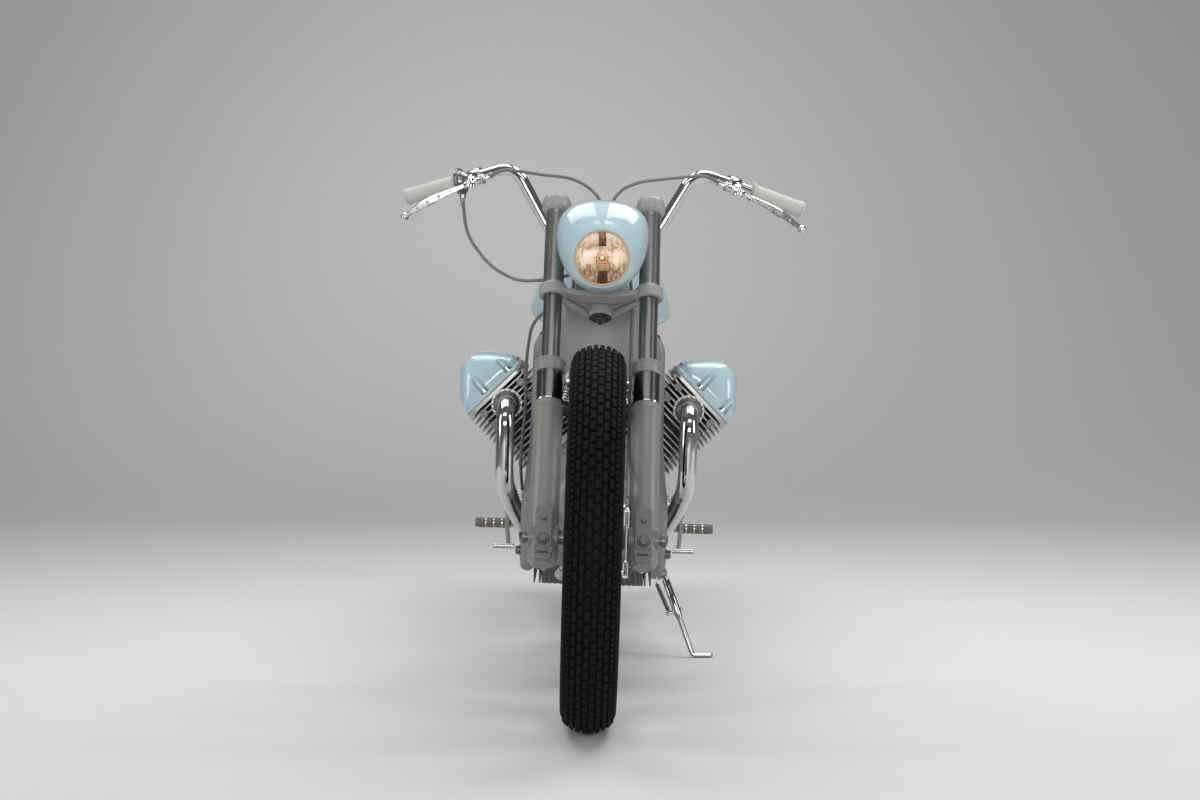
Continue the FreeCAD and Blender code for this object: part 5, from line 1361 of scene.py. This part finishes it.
def build_top_rails():
    """One bent loop from the steering head round the seat, its cross tubes, uprights and shock tabs."""
    left = [(30, 394, 790), (42, 478, 760), (52, 840, 692), (100, 1010, 664), (112, 1390, 700)]
    right = [flip(p) for p in reversed(left)]
    shapes = [tube(left + right, 14, [120, 160, 160, 60, 60, 160, 160, 120], 24),
              rod((-30, 394, 790), (30, 394, 790), 14), rod((-60, 860, 688), (60, 860, 688), 11)]
    for s in SIDES:
        shapes.append(rod((s * 88, 989, 400.5), (s * 90, 992, 664), 14))
        shapes.append(box(*sorted_corners((s * 105, 1292, 673.3), (s * 117, 1308, 686))))
    piece("top_rails_look", shapes, GREY, "chassis", ["top_rails"], bevel=0.8)


def build_pivot_plates():
    shapes = [rod((-94, PIVOT.y, PIVOT.z), (94, PIVOT.y, PIVOT.z), 9)]
    face = [(950, 250), (1006, 250), (1022, 350), (1008, 400), (966, 400), (944, 320)]
    for s in SIDES:
        shapes.append(skin([[(s * x, y, z) for y, z in face] for x in (84, 94)]))
        shapes.append(lathe([(0, 17), (3, 17), (4, 16), (4, 0)], (s * 94, PIVOT.y, PIVOT.z), X * s, 32))
    piece("pivot_plates_look", shapes, GREY, "chassis", ["pivot_plates"], bevel=2, segments=3)
    bits = [bolt((s * 98, PIVOT.y, PIVOT.z), X * s, 10, 6) for s in SIDES]
    piece("pivot_screws", bits, CHROME, "chassis", bevel=0.5)


def build_cradle():
    """Downtubes, the rails under the engine with their lug for the stand, collars and bolts."""
    down = [(39, 468.7, 756), (42, 474, 695), (112, 478, 672), (114, 478, 470), (127, 480, 350),
            (127, 480, 288)]
    shapes = both([tube(down, 15, [30, 30, 200, 120], 28)])
    piece("downtubes_look", shapes, GREY, "chassis", ["downtubes"], bevel=0.5)
    shapes = both([lathe([(0, 15), (0, 17), (8, 17), (10, 15), (44, 15), (52, 13), (57, 9), (61, 4),
                          (61.5, 0)],
                         (127, 480, 287.8), -Z, 32),
                   tube([(127, 480, 236), (127, 780, 236), (88, 900, 236), (88, 1000, 236)], 14, 90, 24)])
    lug = [(88, 242), (102, 224), (122, 164), (133, 162), (131, 188), (112, 244)]
    shapes.append(skin([[(x, y, z) for x, z in lug] for y in (860, 884)]))
    shapes.append(rod(STAND_PIN - STAND_AXIS * 9, STAND_PIN - STAND_AXIS * 2, 14, 32))
    piece("lower_rails_look", shapes, GREY, "chassis", ["lower_rails"], bevel=1)
    collar = lathe([(0, 15), (0, 17.2), (3, 17.8), (10, 17.8), (13, 17), (13, 15)], (127, 480, 284), Z, 32)
    piece("downtube_collars", both([collar]), DARK_STEEL, "chassis", bevel=0.4)
    bits = both([rod((112, 480, 262), (147, 480, 262), 8), bolt((143, 480, 262), X, 8, 6),
                 bolt((112, 480, 262), -X, 7, 3)])
    bits += [rod(STAND_PIN - STAND_AXIS * 8, STAND_PIN + STAND_AXIS * 12, 6),
             bolt(STAND_PIN + STAND_AXIS * 11.2, STAND_AXIS, 8, 2, False)]
    piece("rail_bolts", bits, DARK_STEEL, "chassis", bevel=0.5)


def build_panel():
    """Plate between the downtubes, arched over the wheel, with the two intake domes behind it."""
    outline = [(-102, 462), (-66, 424), (66, 424), (102, 462), (98, 466), (64, 430), (-64, 430), (-98, 466)]
    obj = piece("neck_panel_look", [slab(outline, 590, 740)], GREY, "chassis", ["neck_panel"],
                bevel=1.6, segments=3)
    settle(obj)
    drill(obj, [rod((0, 380, 585), (0, 580, 585), 66, 64)])
    profile = [(0, 0), (0, 26), (6, 26), (8, 22)]
    for k in range(5):
        profile += [(8 + 7 * k, 22), (9 + 7 * k, 25), (12 + 7 * k, 25), (13 + 7 * k, 22)]
    profile += [(46, 22), (54, 16), (58, 8), (59, 0)]
    domes = [lathe(profile, (s * 56, 560, 545), (-s * 0.25, -0.55, 1), 40) for s in SIDES]
    piece("intake_domes", domes, CHROME, "chassis", bevel=0.3)
    bases = [rod((s * 30, 540, 520), (s * 78, 552, 548), 17, 28) for s in SIDES]
    piece("intake_bases", bases, BLACK, "chassis")


def build_rear():
    """Swingarm, its right leg thick for the shaft, with the final drive and the axle."""
    axle_at = (0, WHEELBASE, REAR_R)
    shapes = [rod((-80, 985, 330), (80, 985, 330), 24, 32),
              tube([(58, 997, 330), (58, 1050, 330), (104, 1140, 330), (104, 1495, 330)], 16, 50, 24),
              tube([(-50, 997, 330), (-50, 1040, 330), (-100, 1130, 330), (-100, 1414, 330)], 27, 60, 32),
              rod((86, 1500, 330), (122, 1500, 330), 24, 32)]
    for s in SIDES:
        shapes.append(box(*sorted_corners((s * 106, 1388, 338), (s * 118, 1404, 362.7))))
    piece("swingarm_look", shapes, GREY, "chassis", ["swingarm"], bevel=1)
    shapes = [lathe([(50, 0), (50, 60), (56, 74), (60, 77), (84, 78), (88, 76), (104, 66), (112, 52),
                     (116, 40), (118, 20), (118, 0)], axle_at, -X, 64),
              rod((-100, 1414.2, 330), (-100, 1480, 330), 30, 32)]
    piece("final_drive_look", shapes, BLASTED, "chassis", ["final_drive"], bevel=1.5)
    bits = []
    for a in angles(8):
        bits.append(bolt((-100, WHEELBASE + 68 * math.cos(a), REAR_R + 68 * math.sin(a)), -X, 5, 6))
    bits.append(lathe([(-130, 0), (-130, 12), (-129, 13), (-118.6, 13), (-118.6, 8.5), (122.2, 8.5),
                       (122.2, 13), (133, 13), (134, 12), (134, 0)], axle_at, X, 6))
    piece("rear_axle_look", bits, STEEL, "chassis", ["rear_axle"], bevel=0.5)
    build_shocks()
    build_pegs()
    build_stand()


def coil_line(start, way, span, turns, steps, radius):
    """Points of a spring wound about a line."""
    side = way.orthogonal().normalized()
    other = way.cross(side)
    points = []
    for k in range(turns * steps + 1):
        a = 2 * math.pi * k / steps
        points.append(start + way * span * k / (turns * steps)
                      + (side * math.cos(a) + other * math.sin(a)) * radius)
    return points


def build_shocks():
    top, foot = Vector((112, 1300, 662)), Vector((112, 1396, 374))
    way = (top - foot).normalized()
    span = (top - foot).length
    first, last = 92, span - 62
    bodies = [lathe([(6, 7), (18, 8), (18, 19), (20, 20), (first, 20), (94, 18), (94, 14), (last, 14),
                     (last, 21), (span - 60, 22), (span - 22, 22), (span - 20, 20), (span - 20, 8),
                     (span - 6, 7)], foot, way, 32)]
    for eye in (foot, top):
        bodies.append(lathe([(-10, 11), (-9, 12), (9, 12), (10, 11)], eye, X, 28))
    piece("shocks_look", both(bodies), BLACK, "chassis", ["shocks"], bevel=0.5)
    coil = coil_line(foot + way * first, way, last - first, 10, 20, 21.5)
    piece("shock_springs", both([sweep(coil, 3.6, 10)]), CHROME, "chassis")


def build_pegs():
    """Ribbed pegs in four blocks between bright rings, and the two foot levers."""
    block, ribs, peg_y, peg_z = 17, 5, 952, 260
    outline = [(172, 0), (172, 8), (176, 9.5)]
    metal = []
    for k in range(4):
        x = 178 + k * block
        for rib in range(ribs):
            start = x + rib * 2.6
            outline += [(start, 9.9), (start + 0.3, 10.5), (start + 2.0, 10.5), (start + 2.3, 9.9)]
        outline += [(x + 13.5, 9), (x + 16.5, 9)]
        if k < 3:
            metal.append(washer(0, 3.2, 8.5, 10.4, (x + 13.3, peg_y, peg_z), X, 28))
    outline += [(246, 10.5), (248, 10.2), (249, 8), (249, 0)]
    metal.append(tube([(94.2, peg_y, 306), (168, peg_y, 306), (168, peg_y, 258)], 7, 12, 16))
    metal.append(rod((94.2, 960, 306), (99, 960, 306), 14))
    metal.append(rod((166, peg_y, 288), (188, peg_y, 288), 5))
    metal.append(lathe([(166, 0), (166, 8), (176, 9), (178, 10), (178, 0)], (0, peg_y, peg_z), X, 24))
    piece("peg_rubbers", both([lathe(outline, (0, peg_y, peg_z), X, 28)]), PEG, "chassis",
          ["footpegs"])
    piece("peg_metal", both(metal), STEEL, "chassis", bevel=0.3)
    toe = [(0, 4), (0.8, 5.5)]
    for k in range(7):
        x = 3 + k * 5.4
        toe += [(x, 5.5), (x + 0.5, 4.7), (x + 1.6, 4.7), (x + 2.1, 5.5)]
    toe += [(43, 5.5), (44, 4.4)]
    piece("toe_pieces", both([lathe(toe, (160, 762, 235), X, 20)]), STEEL, "chassis")
    boss = ring_lathe([(0, 5.2), (0, 9.5), (0.5, 10), (10.2, 10), (10.7, 9.5), (10.7, 5.2)],
                      (175.3, peg_y, 288), X, 24)
    arm = tube([(180.5, 946, 286), (180, 880, 262), (172, 762, 235)], 4.4, 60, 16)
    piece("foot_levers_look", both([boss, arm]), GREY, "chassis", ["foot_levers"])


def build_stand():
    """Side stand that reaches the level ground, with a return spring hooked on its pin."""
    radius = 5.5
    up = LEANING.inverted()
    knee, toe = up @ Vector((212, 832, radius)), up @ Vector((248, 832, radius))
    near = STAND_PIN + STAND_AXIS * 5.5
    down = (knee - near).normalized()
    side = (-X - down * (-X).dot(down)).normalized()
    pin = near + down * 86
    shapes = [tube([near + down * 8, knee, toe], radius, 10, 20),
              capsule(STAND_PIN - STAND_AXIS * 1.5, STAND_PIN + STAND_AXIS * 11, 12, 1.2, 32),
              lathe([(18, 0), (18, 7.4), (19, 8), (92, 8), (104, radius), (104, 0)], near, down, 28),
              ball(toe, radius, 16), rod(pin - side * 9, pin + side * 19, 3.4, 16)]
    shapes += [ball(pin + side * way, 4.2, 14) for way in (-9, 19)]
    piece("side_stand_look", shapes, STAND, "side_stand", ["side_stand"])
    head, foot = near + side * 20 + down * 17, pin + side * 16
    way = (foot - head).normalized()
    coil = coil_line(head + way * 4, way, (foot - head).length - 10, 18, 12, 3.8)
    spring = [sweep(coil, 1.1, 8), rod(head - way * 2, head + way * 6, 1.4, 8),
              rod(foot - way * 8, foot, 1.4, 8)]
    piece("stand_spring", spring, DARK_STEEL, "side_stand")


# Cables


def crossing(name, below=0.0):
    """Where a cable passes the steering head, that far below the middle of its straight run."""
    across, behind = {"throttle": (-44, 61), "clutch": (-52, 42)}[name]
    return FORK @ Vector((across, behind, 530 - below))


def cable(points, radius=CABLE_RADIUS):
    return sweep(path(points, cord_bends(points), 4), radius, 14)


def build_cables():
    """Brake cable on the steering, and two that bend where they cross to the frame."""
    drum, _ = bar_spot(GRIP_LENGTH + 11)
    throttle = [flip(drum - Z * 35.5), (-262, 462, 870), (-215, 420, 812),
                (-160, 375, 786), (-110, 340, 790), crossing("throttle", -30),
                crossing("throttle"), crossing("throttle", 14), FORK @ Vector((-43, 96, 524)),
                (-46, 388, 764), (-63, 470, 746), (-63, 556, 704), (-74, 650, 660),
                (-90, 740, 636), (-96, 792, 590)]
    _, way, pivot = lever_pivot()
    adjuster = pivot + way * 30.5
    knee = adjuster + way * 40 + Vector((0, -4, 8))
    clutch = [adjuster, knee, (118, 372, 988), (62, 340, 980), (26, 316, 962),
              (4, 301, 915), FORK @ Vector((-20, 6, 616)), crossing("clutch", -44), crossing("clutch"),
              crossing("clutch", 17), FORK @ Vector((-74, 96, 515)), (-94, 380, 740),
              (-130, 414, 706), (-141, 468, 630), (-139, 500, 540),
              (-148, 508, 430), (-140, 560, 352)]
    inside = LEG_X - SLIDER - CABLE_RADIUS - 0.2
    beside = [(46, 510), (46, 440), (40, 350), (34, 270), (18, 200), (-10, 140), (-42, 95), (-57, 57)]
    brake = [flip(adjuster), flip(knee),
             (-118, 372, 988), (-62, 338, 984), (-22, 312, 964), (14, 297, 915), (44, 296, 850)]
    brake += [FORK @ Vector((inside, behind, leg)) for behind, leg in beside]
    piece("brake_cable", [cable(brake)], CABLE, "steering")
    for name, route in (("throttle", throttle), ("clutch", clutch)):
        obj = piece(name + "_cable", [cable(route)], CABLE, "steering")
        world = obj.matrix_world.copy()
        obj.parent = None
        obj.matrix_world = world
        del obj["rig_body"]
        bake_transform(obj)
        if name == "throttle":
            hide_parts("steering_cables", "engine_cables")
    ferrule = lathe([(-4, 4), (-3, 4.6), (14, 4.6), (15, 3.8)], adjuster, way, 16)
    ends = both([ferrule]) + [lathe([(0, 4.6), (14, 4.6), (16, 3.6)], throttle[0] + Z * 2, -Z, 16)]
    piece("cable_ends", ends, CHROME, "steering")


# Studio


def build_stage():
    """Pale floor that curves up into a low wall behind."""
    finish = material("stage", (0.665, 0.665, 0.67), 0.65)
    near, far, reach, curve, rise, steps = -9.0, 2.6, 9.0, 3.2, math.radians(66), 24
    rows = [(near, 0.0)]
    for k in range(steps + 1):
        a = rise * k / steps
        rows.append((far + curve * math.sin(a), curve - curve * math.cos(a)))
    points = [(x, y, z) for y, z in rows for x in (-reach, reach)]
    faces = [(2 * k, 2 * k + 1, 2 * k + 3, 2 * k + 2) for k in range(len(rows) - 1)]
    mesh = bpy.data.meshes.new("backdrop")
    mesh.from_pydata(points, [], faces)
    mesh.polygons.foreach_set("use_smooth", [True] * len(mesh.polygons))
    mesh.materials.append(finish)
    link("backdrop", mesh)


def area_light(name, spot, aim, size, power, spread=180):
    """Rectangular lamp that looks at a place."""
    data = bpy.data.lights.new(name, "AREA")
    data.shape = "RECTANGLE"
    data.size, data.size_y = size
    data.energy = power
    data.spread = math.radians(spread)
    lamp = link(name, data)
    lamp.location = spot
    lamp.rotation_euler = (Vector(aim) - Vector(spot)).to_track_quat("-Z", "Y").to_euler()


def build_light():
    """Large soft lamps over, beside and before the bike, and one for the wall."""
    world = bpy.data.worlds.new("studio")
    world.use_nodes = True
    sky = world.node_tree.nodes["Background"].inputs
    sky["Color"].default_value = (0.60, 0.61, 0.63, 1)
    sky["Strength"].default_value = 0.22
    bpy.context.scene.world = world
    area_light("over_left", (-1.0, 0.4, 2.7), (-1.0, 0.3, 0), (1.7, 1.8), 36)
    area_light("over_right", (1.0, 0.4, 2.7), (1.0, 0.3, 0), (1.7, 1.8), 48)
    area_light("front_top", (0, -2.9, 3.3), (0, -0.4, 0.5), (3.6, 0.8), 26)
    area_light("side_left", (-3.6, -1.6, 1.5), (0, -0.2, 0.6), (0.7, 2.4), 37)
    area_light("side_right", (3.6, -1.6, 1.5), (0, -0.2, 0.6), (0.7, 2.4), 41)
    area_light("fill", (0, -7.6, 1.8), (0, 0, 0.6), (4.4, 1.6), 230)
    area_light("wall_pool", (-0.4, 2.2, 3.0), (-0.4, 5.6, 0.4), (1.2, 0.6), 5.5, spread=80)


def build_camera():
    """Stands where the photograph was taken, in front and a little above the lamp."""
    data = bpy.data.cameras.new("camera")
    data.lens, data.sensor_width = 90, 36
    data.shift_x = -7 / 1200
    data.dof.use_dof = False
    camera = link("camera", data)
    camera.location = (0.0056, -6.0585, 0.970)
    camera.rotation_euler = (math.radians(90 - 4.08), 0, 0)
    bpy.context.scene.camera = camera
    bpy.context.scene.view_settings.view_transform = "Standard"


build_wheels()
build_fork()
build_handlebar()
build_headlight()
build_tank()
build_seat()
build_tail()
build_cylinders()
build_crankcase()
build_exhausts()
build_carburettors()
build_frame()
build_cables()
build_stage()
build_light()
build_camera()
